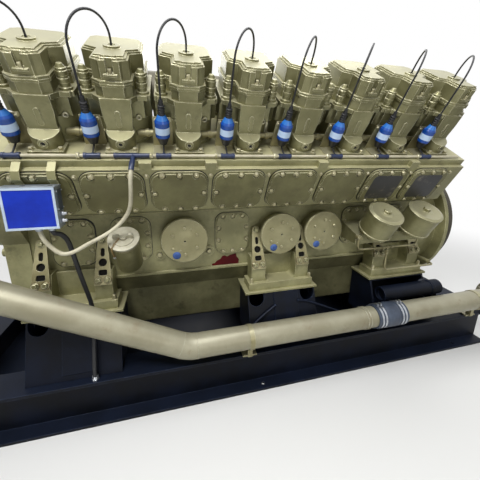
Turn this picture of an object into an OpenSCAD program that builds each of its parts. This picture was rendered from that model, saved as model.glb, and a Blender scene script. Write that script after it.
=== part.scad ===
// Stationary gas engine with two banks of eight cylinders, on a steel skid.
// Millimetres, +Z up, origin on the floor under the middle of the skid.
// Near side is -Y. Bank positions use x along the crankshaft, v outward from
// the bank's middle plane and u along the cylinder axis from the crankshaft.

/* [Cylinder banks] */
// Cylinders in each bank
bays = 8; // [6:1:9]
// Distance from one cylinder to the next
bay_pitch = 280; // [270:5:320]
// Lean of each bank from upright
bank_angle = 30; // [28:1:32]
// Height of the crankshaft above the floor
crank_z = 850; // [830:5:900]
// Crankshaft to the deck that the cylinders stand on
deck_u = 705; // [690:5:730]
// Shift of a bank's cylinders along the crankshaft from the bay middles
bank_shift = 26; // [10:2:30]

/* [Crankcase] */
// Half width of the upright side wall
wall_y = 300; // [285:5:310]
// Block length past the last bay at each end
end_margin = 60; // [40:5:100]
// Height of the joint between crankcase and oil pan
rail_z = 676; // [665:1:695]
// How far the joint flange stands out
rail_out = 12; // [8:1:16]
// Thickness of each joint flange
rail_h = 14; // [10:1:20]
// Bank middle plane to the seat of the camshaft covers
cover_v = 275; // [272:1:285]
// Depth of the step between cover seat and deck edge
step_v = 23; // [15:1:30]
// Height of the step under the deck
step_u = 32; // [24:1:40]
// Lower edge of the camshaft gallery along the bank
gallery_u = 430; // [420:2:436]
// Width of the ribs that fill the step
rib_w = 50; // [40:2:60]
// Inner edge of the deck from the bank's middle plane
deck_in_v = 170; // [160:2:176]
// Half width of the valley floor
valley_half = 40; // [30:2:60]
// Depth of the valley below the inner deck edge
valley_depth = 285; // [260:5:300]
// Diameter of the bearing bolt bosses
boss_d = 60; // [50:2:70]
// Height of the bearing bolt bosses below the crankshaft
boss_drop = 55; // [45:1:70]
// Bottom of the oil pan above the floor
pan_z = 320; // [305:5:345]
// How far the pan side is set in from the wall
pan_in = 6; // [4:1:12]
// Slope of the pan side over its height
pan_taper = 66; // [60:1:76]

/* [Covers and doors] */
// Width of a camshaft cover
cover_w = 256; // [240:2:262]
// Height of a camshaft cover along the bank
cover_h = 228; // [210:2:232]
// Corner radius of covers and doors
cover_r = 56; // [40:2:65]
// Thickness of a cover's flange
flange_t = 10; // [8:1:14]
// Height of a cover's raised panel
panel_t = 8; // [5:1:10]
// Shift of the covers along the crankshaft from the bay middles
cover_shift = -18; // [-20:1:0]
// Spacing of the three bolts along a cover's edge
bolt_pitch = 74; // [66:1:80]
// Bolt circle centre from the cover's edge
bolt_edge = 17; // [14:1:20]
// Width of a crankcase door
door_w = 203; // [190:1:206]
// Height of a crankcase door
door_h = 250; // [230:1:256]
// Height of the doors above the crankshaft
door_rise = 45; // [40:1:60]
// Bays that carry a round relief valve
valve_bays = [3, 5, 6];
// Diameter of a relief valve
valve_d = 254; // [236:2:258]
// How far a relief valve stands out
valve_out = 100; // [96:1:108]

/* [Heads] */
// Diameter of a cylinder jacket
jacket_d = 250; // [230:2:256]
// Height of a cylinder jacket
jacket_h = 115; // [105:1:125]
// Width of a cylinder head
head_w = 264; // [250:1:266]
// Height of a cylinder head
head_h = 98; // [90:1:108]
// Outer face of a head from the bank's middle plane
head_v = 100; // [96:1:104]
// Inner face of a head from the bank's middle plane
head_in_v = 150; // [140:1:156]
// Thickness of the ears under the head nuts
ear_t = 20; // [16:1:26]
// Head nut place along the crankshaft
nut_x = 103; // [100:1:108]
// Head nut place across the bank
nut_v = 80; // [76:1:84]
// Diameter of a head nut
nut_d = 42; // [36:1:46]
// Height of a head nut
nut_h = 78; // [70:1:88]
// Front face of the pushrod housing from the bank's middle plane
housing_v = 156; // [152:1:162]
// Width of the pushrod housing at the top
housing_top_w = 113; // [104:1:118]
// Width of the pushrod housing at the bottom
housing_foot_w = 102; // [94:1:104]
// Shift of the pushrod housing from the cylinder
housing_shift = 4; // [0:1:8]
// Height of the tappet shelf above the deck
shelf_u = 83; // [76:1:90]
// Height of the rocker box
box_h = 52; // [46:1:60]
// Height of the rocker cover
rocker_h = 92; // [80:1:100]
// Width of the rocker box front
box_front_w = 90; // [84:1:96]
// Width of the rocker box between the head nuts
box_mid_w = 134; // [128:1:136]
// Width of the rocker box at the back
box_back_w = 226; // [210:1:236]

/* [Ignition] */
// Coil place along the crankshaft, back from the cylinder
coil_shift = 106; // [100:1:112]
// Diameter of an ignition coil
coil_d = 61; // [56:1:64]
// Length of the coil's blue body
coil_body_l = 66; // [60:1:72]
// Coil foot above the deck
coil_lift = 31; // [26:1:36]
// Width of a coil bracket
coil_plate_w = 89; // [80:1:96]
// Height of a coil bracket
coil_plate_h = 136; // [126:1:146]
// Thickness of a coil bracket
coil_plate_t = 4; // [3:0.5:6]
// Bracket front face from the bank's middle plane
coil_plate_v = 134; // [130:1:140]
// Diameter of an ignition lead
lead_d = 8; // [6:0.5:10]
// Diameter of the wiring conduit
conduit_d = 13; // [11:1:15]
// Conduit place from the bank's middle plane
conduit_v = 236; // [230:1:240]

/* [Mounts] */
// Length of a mount's base plate
plate_l = 458; // [440:2:480]
// Width of a mount's base plate
plate_w = 187; // [180:1:195]
// Thickness of a mount's base plate
plate_t = 12; // [10:1:16]
// Top of the base plates above the floor
plate_z = 566; // [555:1:575]
// Inner edge of the base plates
plate_in_y = 262; // [262:1:266]
// Length of the bracket's foot block
foot_l = 404; // [390:2:420]
// Height of the bracket's foot block
foot_h = 46; // [40:1:52]
// Width of an arm column
column_w = 84; // [76:1:90]
// Upper arm bolt above the crankshaft
arm_rise = 55; // [45:1:60]
// Lean of the arms from upright
arm_lean = 22.5; // [20:0.5:25]
// Arm length from the upper bolt to the lower bolts
arm_l = 205; // [195:1:210]
// Thickness of an arm
arm_t = 14; // [10:1:16]

/* [Skid] */
// Length of the skid
skid_l = 3440; // [3400:10:3600]
// Height of the skid rails
skid_h = 270; // [240:5:280]
// Inner edge of the rail flanges
skid_in_y = 430; // [420:5:440]
// Width of the rail flanges
skid_flange = 160; // [150:5:170]
// Thickness of the rail flanges and webs
skid_t = 16; // [12:1:20]
// Width of the cross members
cross_w = 180; // [160:5:220]
// Thickness of the pedestal plates
pedestal_t = 12; // [10:1:16]
// Diameter of the anchor holes
anchor_d = 22; // [18:1:26]

/* [Coolant pipes] */
// Outside diameter of the coolant pipes
pipe_d = 125; // [114:1:132]
// Distance of the coolant pipes from the middle
pipe_y = 590; // [580:1:600]
// Height of the level part of the pipes
pipe_z = 388; // [380:1:410]
// Place along the skid where the pipe starts to rise
rise_x = -385; // [-400:5:-340]
// Slope of the rising part
rise_angle = 27.4; // [26:0.2:29]
// Radius of the bend to the rising part
bend_r = 190; // [170:5:220]
// Radius of the turn toward the pump
turn_r = 150; // [140:5:160]
// Place of the pump header along the skid
header_x = -1540; // [-1560:5:-1520]
// Diameter of the pump header
header_d = 230; // [210:5:240]
// Half length of the pump header
header_half = 300; // [280:5:320]
// Middle of the rubber coupling along the skid
coupling_x = 790; // [770:5:820]
// Length of the rubber coupling
coupling_l = 210; // [200:5:230]
// Outside diameter of the rubber coupling
coupling_d = 149; // [142:1:156]
// Place of the pipe's support along the skid
support_x = -100; // [-140:5:-60]

/* [Oil fittings] */
// Diameter of an oil filter
filter_d = 190; // [180:2:200]
// Length of an oil filter's body
filter_l = 140; // [130:1:150]
// Middle of a filter's seat above the crankshaft
filter_rise = 66; // [60:1:72]
// Distance of the filter seats from the middle
filter_y = 483; // [475:1:490]
// Shift of the filters along the crankshaft
filter_shift = 10; // [0:1:20]
// Diameter of the filter tubes
tube_d = 12; // [10:1:14]
// Diameter of the oil filler
filler_d = 124; // [118:2:130]
// Length of the oil filler's body
filler_l = 196; // [186:1:204]
// Lean of the oil filler from upright
filler_lean = 34; // [31:0.5:37]
// Diameter of the pump motor
motor_d = 98; // [92:1:106]
// Length of the pump motor
motor_l = 470; // [440:5:480]

/* [Ends] */
// Thickness of the front gear case
gear_case_t = 110; // [100:5:130]
// Thickness of the flywheel housing
bell_t = 150; // [140:5:170]
// Diameter of the flywheel housing
bell_d = 900; // [880:10:940]
// Diameter of the housing's neck
bell_neck_d = 764; // [740:2:768]
// Diameter of the flywheel
flywheel_d = 790; // [760:10:820]
// Thickness of the flywheel
flywheel_t = 90; // [80:5:100]
// Diameter of the flywheel's bolt circle
flywheel_pcd = 560; // [540:5:600]
// Bolt holes in the flywheel
flywheel_holes = 12; // [8:1:12]

/* [Hidden] */
$fn = 48;

clearance = 0.3;
block_l = bays * bay_pitch + 2 * end_margin;
ledge_u = deck_u - step_u;
deck_v = cover_v - step_v;
cover_u = (gallery_u + ledge_u) / 2;
door_z = crank_z + door_rise;
rib_bays = [2, 3, 5, 7];
mount_bays = [1, ceil((bays + 1) / 2), bays];
head_u = deck_u + jacket_h;
gasket_u = head_u + head_h;
flange_u = gasket_u + box_h;
rocker_u = flange_u + rocker_h;
coil_v = coil_plate_v + 2 + coil_d / 2;
coil_u = deck_u + coil_lift;
boot_h = 37;
cone_h = 28;
neck_h = 62;
body_u = coil_u + boot_h;
lead_u = body_u + coil_body_l + cone_h + neck_h;
fitting_d = 20;
conduit_lift = fitting_d / 2 + 2 + clearance;
conduit_u = deck_u + conduit_lift;

function bay_x(n) = (n - (bays + 1) / 2) * bay_pitch;
function near_y(v, u) = -(v * cos(bank_angle) + u * sin(bank_angle));
function near_z(v, u) = crank_z + u * cos(bank_angle) - v * sin(bank_angle);
function bank_point(v, u) = [near_y(v, u), near_z(v, u)];
function flip(points) = [for (i = [len(points) - 1:-1:0]) [-points[i][0], points[i][1]]];

// Bank frame: x along the crankshaft, -y outward, z along the cylinder axis.
module near_bank() {
    translate([0, 0, crank_z]) rotate([bank_angle, 0, 0]) children();
}

module both_sides() {
    children();
    rotate([0, 0, 180]) children();
}

module each_cylinder() {
    for (n = [1:bays]) translate([bay_x(n) + bank_shift, 0, 0]) children();
}

module along_x(l) {
    rotate([90, 0, 90]) linear_extrude(l) children();
}

module centred_along_x(l) {
    translate([-l / 2, 0, 0]) along_x(l) children();
}

module round_rect(w, h, r) {
    square([w - 2 * r, h], center = true);
    square([w, h - 2 * r], center = true);
    for (x = [-1, 1], y = [-1, 1]) translate([x * (w / 2 - r), y * (h / 2 - r)]) circle(r);
}

/* Skid */

module rail() {
    web_y = skid_in_y + skid_flange / 2;
    color("#15181e") difference() {
        centred_along_x(skid_l) {
            translate([-web_y, skid_t / 2]) square([skid_flange, skid_t], center = true);
            translate([-web_y, skid_h - skid_t / 2]) square([skid_flange, skid_t], center = true);
            translate([-web_y, skid_h / 2]) square([skid_t, skid_h - 2 * skid_t + 1], center = true);
        }
        for (x = anchor_x, s = [-1, 1]) {
            translate([x, -web_y + s * anchor_gauge / 2, -1]) cylinder(d = anchor_d, h = skid_t + 2);
        }
    }
}
anchor_gauge = 90;
anchor_x = [for (k = [-1, 0, 1]) k * (skid_l / 2 - cross_w - 80)];

module skid_rail_near() rail();
module skid_rail_far() rotate([0, 0, 180]) rail();

cross_x = [-skid_l / 2 + cross_w / 2, bay_x(mount_bays[0]), bay_x(mount_bays[1]),
    bay_x(mount_bays[2]), skid_l / 2 - cross_w / 2];

module skid_cross_members() {
    half = skid_in_y + skid_flange / 2 - skid_t / 2;
    inner_h = skid_h - 2 * skid_t;
    color("#15181e") for (x = cross_x) translate([x, 0, skid_t]) {
        translate([-cross_w / 2, -half, 0]) cube([cross_w, 2 * half, skid_t]);
        translate([-cross_w / 2, -half, inner_h - skid_t]) cube([cross_w, 2 * half, skid_t]);
        translate([-skid_t / 2, -half, skid_t / 2]) cube([skid_t, 2 * half, inner_h - skid_t]);
    }
}

pedestal_top = plate_z - plate_t;
pedestal_h = pedestal_top - skid_h;
pedestal_l = plate_l - 28;
pedestal_top_y = plate_in_y + plate_w - 9;
pedestal_foot_y = skid_in_y + skid_flange - 40;

module pedestal_section() {
    polygon([[-plate_in_y, skid_h], [-plate_in_y, pedestal_top],
        [-pedestal_top_y, pedestal_top], [-pedestal_foot_y, skid_h]]);
}

// A welded box of plates with a leaning front that has two round notches.
module pedestal(open_front) {
    front_lean = atan((pedestal_foot_y - pedestal_top_y) / pedestal_h);
    notch_r = 45;
    notch_x = pedestal_l / 2 - notch_r - 8;
    difference() {
        centred_along_x(pedestal_l) pedestal_section();
        centred_along_x(pedestal_l - 2 * pedestal_t) pedestal_hollow(pedestal_t, open_front);
        if (!open_front) {
            for (s = [-1, 1]) translate([s * notch_x, -pedestal_top_y, pedestal_top])
                rotate([-front_lean, 0, 0]) translate([0, 0, -30]) rotate([90, 0, 0]) {
                    translate([0, 0, -60]) cylinder(r = notch_r, h = 80);
                    translate([-notch_r, 0, -60]) cube([2 * notch_r, 80, 80]);
                }
        }
    }
    if (!open_front) {
        translate([20, -pedestal_top_y, pedestal_top]) rotate([-front_lean, 0, 0])
            translate([-76, -9, -pedestal_h * 0.96]) cube([152, 10, pedestal_h * 0.94]);
    }
}

// The hollow inside a pedestal's plates; an open front runs out to the air.
module pedestal_hollow(t, open_front) {
    out = open_front ? 60 : -t;
    polygon([[-plate_in_y - t, skid_h + t], [-plate_in_y - t, pedestal_top - t],
        [-pedestal_top_y - out, pedestal_top - t], [-pedestal_foot_y - out, skid_h + t]]);
}

motor_x = bay_x(mount_bays[2]) - pedestal_l / 2 + 60;
motor_y = 478;
motor_z = 458;

module skid_pedestals() {
    color("#171b22") {
        for (n = mount_bays) {
            if (n == mount_bays[2]) difference() {
                translate([bay_x(n), 0, 0]) pedestal(true);
                translate([bay_x(n), -motor_y, motor_z]) rotate([0, 90, 0])
                    cylinder(d = motor_d + 24, h = pedestal_l);
            } else translate([bay_x(n), 0, 0]) pedestal(false);
            translate([bay_x(n), 0, 0]) mirror([0, 1, 0]) pedestal(false);
        }
    }
}

/* Mounts */

module each_mount() {
    for (n = mount_bays) translate([bay_x(n), 0, 0]) {
        children();
        mirror([0, 1, 0]) children();
    }
}

module mount_base_plates() {
    color("#8f8b63") each_mount()
        translate([-plate_l / 2, -plate_in_y - plate_w, pedestal_top]) cube([plate_l, plate_w, plate_t]);
}

foot_top = plate_z + foot_h;
back_y = wall_y + rail_out;
arm_top_z = crank_z + arm_rise;
arm_seat_y = wall_y + 18;
foot_in_y = back_y;
foot_out_y = plate_in_y + plate_w - 19;

function arm_point(s) = [-arm_seat_y - s * sin(arm_lean), arm_top_z - s * cos(arm_lean)];

// A foot block, two columns under the arms, a back web and rounded inner corners.
module bracket() {
    top = arm_point(arm_l - 50);
    low = arm_point(arm_l + 26);
    inner = bay_pitch / 2 - column_w / 2;
    translate([-foot_l / 2, -foot_out_y, plate_z]) cube([foot_l, foot_out_y - foot_in_y, foot_h]);
    for (s = [-1, 1]) translate([s * bay_pitch / 2 - column_w / 2, 0, 0]) along_x(column_w)
        polygon([[-back_y, foot_top - 1], [-back_y, top[1]], top, low, [low[0], foot_top - 1]]);
    translate([-inner - 1, -back_y - 12, foot_top - 1]) cube([2 * inner + 2, 12, top[1] - foot_top - 12]);
    for (s = [-1, 1]) translate([s * inner, -back_y, foot_top]) rotate([90, 0, 0])
        linear_extrude(-low[0] - back_y) difference() {
            translate([-30, -1]) square([60, 31]);
            translate([-s * 30, 30]) circle(30);
            translate([s > 0 ? 1 : -31, -2]) square([30, 40]);
        }
}

module mount_brackets() {
    color("#8f8b63") each_mount() bracket();
}

// A flat arm that widens downward, with three lightening holes.
module arm() {
    rotate([90 - arm_lean, 0, 0]) linear_extrude(arm_t) difference() {
        union() {
            circle(24);
            polygon([[-23, 0], [23, 0], [41, -arm_l + 8], [41, -arm_l - 24],
                [-41, -arm_l - 24], [-41, -arm_l + 8]]);
        }
        for (s = [-50, -74]) translate([0, s]) circle(10);
        translate([-10, -74]) square([20, 24]);
        translate([0, -114]) circle(20);
        translate([0, -arm_l + 39]) round_rect(41, 29, 8);
    }
}

module mount_arms() {
    color("#a8a47c") each_mount() for (s = [-1, 1])
        translate([s * bay_pitch / 2, -arm_seat_y, arm_top_z]) {
            arm();
            difference() {
                translate([0, arm_seat_y - wall_y, 0]) rotate([90, 0, 0]) cylinder(d = 46, h = 24);
                rotate([-arm_lean, 0, 0]) translate([-40, -60, -60]) cube([80, 60, 120]);
            }
        }
}

/* Crankcase */

module crankcase_section() {
    gallery_in_z = near_z(cover_v, gallery_u) - 45;
    valley_edge = bank_point(-deck_in_v, deck_u);
    near_half = [
        [-back_y, rail_z], [-back_y, rail_z + rail_h], [-wall_y, rail_z + rail_h],
        [-wall_y, gallery_in_z], bank_point(cover_v, gallery_u), bank_point(cover_v, ledge_u),
        bank_point(deck_v, ledge_u), bank_point(deck_v, deck_u), valley_edge,
        [-valley_half, valley_edge[1] - valley_depth]
    ];
    polygon(concat(near_half, flip(near_half)));
}

module bearing_boss() {
    rotate([90, 0, 0]) difference() {
        translate([0, 0, -1]) cylinder(d = boss_d, h = 13);
        translate([0, 0, 5]) cylinder(d = boss_d * 0.6, h = 10);
    }
}

function has_arm(n) = len([for (m = mount_bays) if (m == n || m == n + 1) m]) > 0;

module crankcase() {
    color("#7f7c57") {
        centred_along_x(block_l) crankcase_section();
        both_sides() {
            near_bank() for (n = rib_bays)
                translate([bay_x(n) + bay_pitch / 2 + cover_shift - rib_w / 2, -cover_v, ledge_u - 1])
                    cube([rib_w, step_v + 1, step_u + 1]);
        }
        for (s = [0, 1], n = [0:bays]) if (!has_arm(n)) mirror([0, s, 0])
            translate([bay_x(n) + bay_pitch / 2, -wall_y, crank_z - boss_drop]) bearing_boss();
    }
}

module oil_pan() {
    top_y = back_y - pan_in;
    low_y = top_y - pan_taper;
    near_half = [[-low_y + 20, pan_z], [-low_y, pan_z + 20], [-plate_in_y + 4, plate_z + 6], [-top_y, rail_z]];
    color("#7f7c57") centred_along_x(block_l - 30) polygon(concat(near_half, flip(near_half)));
}

/* Covers and doors */

module bolt_places(w, h, side) {
    for (s = [-1, 1]) {
        for (k = [-1, 0, 1]) translate([k * bolt_pitch * w / cover_w, s * (h / 2 - bolt_edge)]) children();
        for (z = side) translate([s * (w / 2 - bolt_edge), z]) children();
    }
}

// A flange with a raised panel that is cut back round each bolt.
module bolted_cover(w, h, side) {
    linear_extrude(flange_t) round_rect(w, h, cover_r);
    translate([0, 0, flange_t - 1]) linear_extrude(panel_t + 1) difference() {
        round_rect(w - 16, h - 16, cover_r - 8);
        bolt_places(w, h, side) circle(17);
    }
}

module cam_covers() {
    color("#7f7c57") both_sides() near_bank() for (n = [1:bays])
        translate([bay_x(n) + cover_shift, -cover_v, cover_u]) rotate([90, 0, 0])
            bolted_cover(cover_w, cover_h, [0]);
}

function is_valve(n) = len([for (m = valve_bays) if (m == n) m]) > 0;

module crankcase_doors() {
    color("#858260") both_sides() for (n = [1:bays]) if (!is_valve(n))
        translate([bay_x(n), -wall_y, door_z]) rotate([90, 0, 0]) bolted_cover(door_w, door_h, [-37, 37]);
}

module relief_valves() {
    r = valve_d / 2;
    color("#8f8b63") both_sides() for (n = valve_bays)
        translate([bay_x(n), -wall_y, door_z]) rotate([90, 0, 0]) rotate_extrude($fn = 96)
            polygon([[6, 0], [r - 22, 0], [r - 22, valve_out - 38], [r - 3, valve_out - 34],
                [r, valve_out - 28], [r, valve_out - 14], [r - 5, valve_out - 9],
                [r * 0.45, valve_out - 4], [26, valve_out], [6, valve_out]]);
}

/* Cylinders and heads */

module cylinder_jackets() {
    color("#75724f") both_sides() near_bank() each_cylinder()
        translate([0, 0, deck_u]) {
            cylinder(d = jacket_d, h = jacket_h);
            cylinder(d = jacket_d + 8, h = 12);
        }
}

transfer_z = 48;
transfer_d = 30;
transfer_v = 104;

// Short tubes that carry coolant from one jacket to the next.
module coolant_transfer_tubes() {
    reach = sqrt(pow(jacket_d / 2, 2) - pow(transfer_v, 2));
    l = bay_pitch - 2 * reach - 2 * clearance + 8;
    color("#a8a47c") both_sides() near_bank() for (n = [1:bays - 1])
        translate([bay_x(n) + bank_shift + bay_pitch / 2, -transfer_v, deck_u + transfer_z]) difference() {
            rotate([0, 90, 0]) {
                cylinder(d = transfer_d, h = l, center = true);
                for (s = [-1, 1]) translate([0, 0, s * l * 0.22])
                    cylinder(d = transfer_d + 8, h = 16, center = true);
            }
            for (s = [-1, 1]) translate([s * bay_pitch / 2, transfer_v, -30])
                cylinder(d = jacket_d + 2 * clearance, h = 60, $fn = 96);
        }
}

// Plan outline shared by the rocker box and its cover.
module box_outline(grow) {
    g = grow;
    f = box_front_w / 2 + g;
    m = box_mid_w / 2 + g;
    b = box_back_w / 2 + g;
    v = housing_v - 6;
    polygon([[-f + 8, -v - g], [f - 8, -v - g], [f, -v + 8 - g],
        [m, -nut_v - 46], [m, -nut_v + 34], [b, -nut_v + 62], [b, head_in_v - 20 + g],
        [b - 20, head_in_v + g], [-b + 20, head_in_v + g], [-b, head_in_v - 20 + g],
        [-b, -nut_v + 62], [-m, -nut_v + 34], [-m, -nut_v - 46], [-f, -v + 8 - g]]);
}

ear_r = 30;

module head() {
    difference() {
        union() {
            translate([-head_w / 2, -head_v, head_u]) cube([head_w, head_v + head_in_v, head_h]);
            for (s = [-1, 1]) translate([s * nut_x, -nut_v, gasket_u - ear_t]) {
                cylinder(r = ear_r, h = ear_t);
                translate([-ear_r, 0, 0]) cube([2 * ear_r, 20, ear_t]);
            }
            // The top flange runs out beside the tower.
            for (s = [-1, 1]) {
                x = housing_shift + s * (housing_top_w / 2 + clearance);
                translate([0, 0, gasket_u - ear_t]) linear_extrude(ear_t) polygon([[x, -head_v + 1],
                    [x, -housing_v + 8], [s * 84, -112], [s * 120, -112], [s * 120, -head_v + 1]]);
            }
        }
        for (s = [-1, 1]) translate([s * (head_w / 2 + 6), -head_v - 6, head_u - 1])
            cylinder(r = 34, h = head_h - ear_t + 1);
    }
}

module cylinder_heads_near() {
    color("#8b8862") near_bank() each_cylinder() head();
}
module cylinder_heads_far() rotate([0, 0, 180]) cylinder_heads_near();

module head_nuts() {
    dome = nut_d / 2 - 4;
    color("#9a966d") both_sides() near_bank() each_cylinder() for (s = [-1, 1])
        translate([s * nut_x, -nut_v, gasket_u]) {
            cylinder(d = nut_d + 8, h = 10);
            translate([0, 0, 10]) cylinder(d = nut_d - 4, h = nut_h - 10);
            for (z = [26, 52]) translate([0, 0, z]) cylinder(d = nut_d, h = 16);
            translate([0, 0, nut_h]) cylinder(r1 = dome, r2 = dome * 0.55, h = 14);
        }
}

// A tapering tower over a round tappet boss with a sloped top and a plug.
module housing() {
    top_u = gasket_u - deck_u;
    back_v = jacket_d / 2 + 4 + clearance;
    boss_v = housing_v - 6;
    half = housing_top_w / 2;
    low = housing_foot_w / 2;
    translate([0, -back_v, 0]) rotate([90, 0, 0]) linear_extrude(housing_v - back_v) polygon([
        [-low, 0], [low, 0], [low, shelf_u + 20], [half, top_u - 60], [half, top_u],
        [-half, top_u], [-half, top_u - 60], [-low, shelf_u + 20]]);
    translate([-low, -back_v - 1, jacket_h + 2])
        cube([2 * low, back_v + 1 - head_v - clearance, top_u - jacket_h - 2]);
    difference() {
        translate([0, -boss_v, 0]) cylinder(r = boss_r, h = shelf_u, $fn = 96);
        translate([-boss_r - 1, -back_v, -1]) cube([2 * boss_r + 2, boss_r * 2, shelf_u + 2]);
        translate([0, -boss_v, shelf_u]) rotate([shelf_slope, 0, 0])
            translate([-boss_r - 1, -boss_r - 20, 0]) cube([2 * boss_r + 2, boss_r + 20, 60]);
    }
    translate([-foot_half, -foot_out_v, 0]) cube([2 * foot_half, foot_out_v - boss_v + 10, 16]);
    translate([0, -boss_v - boss_r - 6, shelf_u * 0.56]) rotate([90, 0, 0]) difference() {
        translate([0, 0, -12]) cylinder(d = 36, h = 12);
        translate([0, 0, -8]) cylinder(d = 18, h = 10);
    }
    // A long raised oval up the front of the tower.
    translate([0, -housing_v, shelf_u + 13]) rotate([90, 0, 0]) {
        translate([0, 10, -1]) cylinder(r = 10, h = 5);
        translate([0, 60, -1]) cylinder(r = 10, h = 5);
        translate([-10, 10, -1]) cube([20, 50, 5]);
    }
}
boss_r = 56;
shelf_slope = 19;
foot_half = 64;
foot_out_v = 216;

module pushrod_housings() {
    color("#8b8862") both_sides() near_bank() each_cylinder()
        translate([housing_shift, 0, deck_u]) housing();
}

module rocker_box() {
    translate([0, 0, gasket_u]) linear_extrude(box_h - 10) box_outline(0);
    translate([0, 0, flange_u - 10]) linear_extrude(10) box_outline(5);
}

module rocker_boxes_near() {
    color("#8b8862") near_bank() each_cylinder() translate([housing_shift, 0, 0]) rocker_box();
}
module rocker_boxes_far() rotate([0, 0, 180]) rocker_boxes_near();

// A deep cover with a bolt channel down its front and a plug well on top.
module rocker_cover() {
    top = rocker_h - 14;
    difference() {
        union() {
            linear_extrude(10) box_outline(5);
            translate([0, 0, 9]) linear_extrude(top - 9) box_outline(-3);
            translate([0, 0, top - 1]) linear_extrude(8) box_outline(-9);
            translate([0, 0, top + 6]) linear_extrude(8) box_outline(-17);
        }
        translate([-12, -housing_v - 20, 38]) cube([24, 40, rocker_h]);
    }
    translate([-24, -housing_v - 1, 26]) cube([48, 12, 8]);
    translate([0, -plug_v, rocker_h - 1]) difference() {
        cylinder(d = 62, h = 9);
        translate([0, 0, 5]) cylinder(d = 30, h = 10);
    }
}
plug_v = 20;

module rocker_covers_near() {
    color("#8b8862") near_bank() each_cylinder()
        translate([housing_shift, 0, flange_u]) rocker_cover();
}
module rocker_covers_far() rotate([0, 0, 180]) rocker_covers_near();

/* Ignition */

module each_coil() {
    both_sides() near_bank() each_cylinder() translate([-coil_shift, 0, 0]) children();
}

module coil_brackets() {
    hole_u = coil_plate_h - 12;
    foot_v = 84;
    color("#a8a47c") each_coil() translate([0, -coil_plate_v, deck_u]) {
        translate([0, coil_plate_t, 0]) rotate([90, 0, 0]) linear_extrude(coil_plate_t) difference() {
            polygon([[-coil_plate_w / 2, 0], [coil_plate_w / 2, 0],
                [coil_plate_w / 2 - 6, coil_plate_h], [-coil_plate_w / 2 + 6, coil_plate_h]]);
            for (s = [-1, 1]) translate([s * (coil_plate_w / 2 - 16), hole_u]) circle(4.5);
        }
        translate([-coil_plate_w / 2, -foot_v, 0]) cube([coil_plate_w, foot_v + coil_plate_t, coil_plate_t]);
    }
}

module ignition_coils() {
    color("#1a5ea8") each_coil() translate([0, -coil_v, body_u]) {
        cylinder(d = coil_d, h = coil_body_l);
        translate([0, 0, coil_body_l]) cylinder(d1 = coil_d, d2 = coil_d * 0.5, h = cone_h);
        // Two saddles hold the body off its bracket.
        for (z = [12, coil_body_l - 22]) translate([-12, 0, z])
            cube([24, coil_v - coil_plate_v, 10]);
    }
}

module coil_boots() {
    color("#17181a") each_coil() translate([0, -coil_v, 0]) {
        translate([0, 0, coil_u]) cylinder(d1 = coil_d * 0.5, d2 = coil_d - 4, h = boot_h);
        translate([0, 0, body_u + coil_body_l + cone_h]) {
            cylinder(d1 = 27, d2 = 15, h = neck_h);
            for (z = [4, 14, 24, 34]) translate([0, 0, z]) cylinder(d = 28 - z * 0.2, h = 5);
        }
    }
}

// High-tension leads loop over to the plug wells; low-tension leads drop to the conduit.
module ignition_leads() {
    dx = coil_shift + housing_shift;
    dv = coil_v - plug_v;
    span = sqrt(dx * dx + dv * dv);
    plug_u = rocker_u + 4;
    rise = plug_u + 26;
    low_v = coil_v + 4;
    low_u = coil_u - lead_d / 2;
    drop_v = conduit_v - fitting_d / 2 - 3 - low_v;
    drop_u = low_u - conduit_u;
    color("#101114") each_coil() {
        translate([0, -coil_v, 0]) rotate([0, 0, atan2(dv, dx)]) {
            translate([0, 0, lead_u]) cylinder(d = lead_d, h = rise - lead_u);
            translate([span / 2, 0, rise]) rotate([90, 0, 0])
                rotate_extrude(angle = 180) translate([span / 2, 0]) circle(d = lead_d);
            translate([span, 0, plug_u]) cylinder(d = lead_d, h = rise - plug_u);
        }
        translate([0, -low_v, low_u]) rotate([180 - atan2(drop_v, drop_u), 0, 0])
            cylinder(d = lead_d - 1, h = sqrt(drop_v * drop_v + drop_u * drop_u) - 0.5);
    }
}

conduit_l = block_l - 90;

module wiring_conduits() {
    color("#bdb9a4") both_sides() near_bank() translate([0, -conduit_v, conduit_u])
        rotate([0, 90, 0]) cylinder(d = conduit_d, h = conduit_l, center = true);
}

branch_x = bay_x(2) + 76;

// Sleeves on the conduit, with a branch leg at each coil and a larger one at the control box.
module conduit_tee(l, leg_l) {
    difference() {
        union() {
            rotate([0, 90, 0]) cylinder(d = fitting_d, h = l, center = true);
            for (s = [-1, 1]) translate([s * (l / 2 - 6), 0, 0]) rotate([0, 90, 0])
                cylinder(d = fitting_d + 4, h = 10, center = true);
            if (leg_l > 0) rotate([90, 0, 0]) cylinder(d = fitting_d - 2, h = leg_l);
            else rotate([-90, 0, 0]) cylinder(d = 14, h = fitting_d / 2 + 3);
        }
        rotate([0, 90, 0]) cylinder(d = conduit_d + 2 * clearance, h = l + 20, center = true);
    }
}

module conduit_fittings() {
    color("#1e2a44") {
        each_coil() translate([0, -conduit_v, conduit_u]) conduit_tee(64, 0);
        near_bank() translate([branch_x, -conduit_v, conduit_u]) conduit_tee(150, 44);
    }
}

/* Control box and its hose */

box_l = 200;
box_t = 65;
box_z = 1075;
box_tall = 163;
box_right_x = -885;
box_out_y = 640;
box_back_y = box_out_y - box_t;
strap_t = 6;

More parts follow.
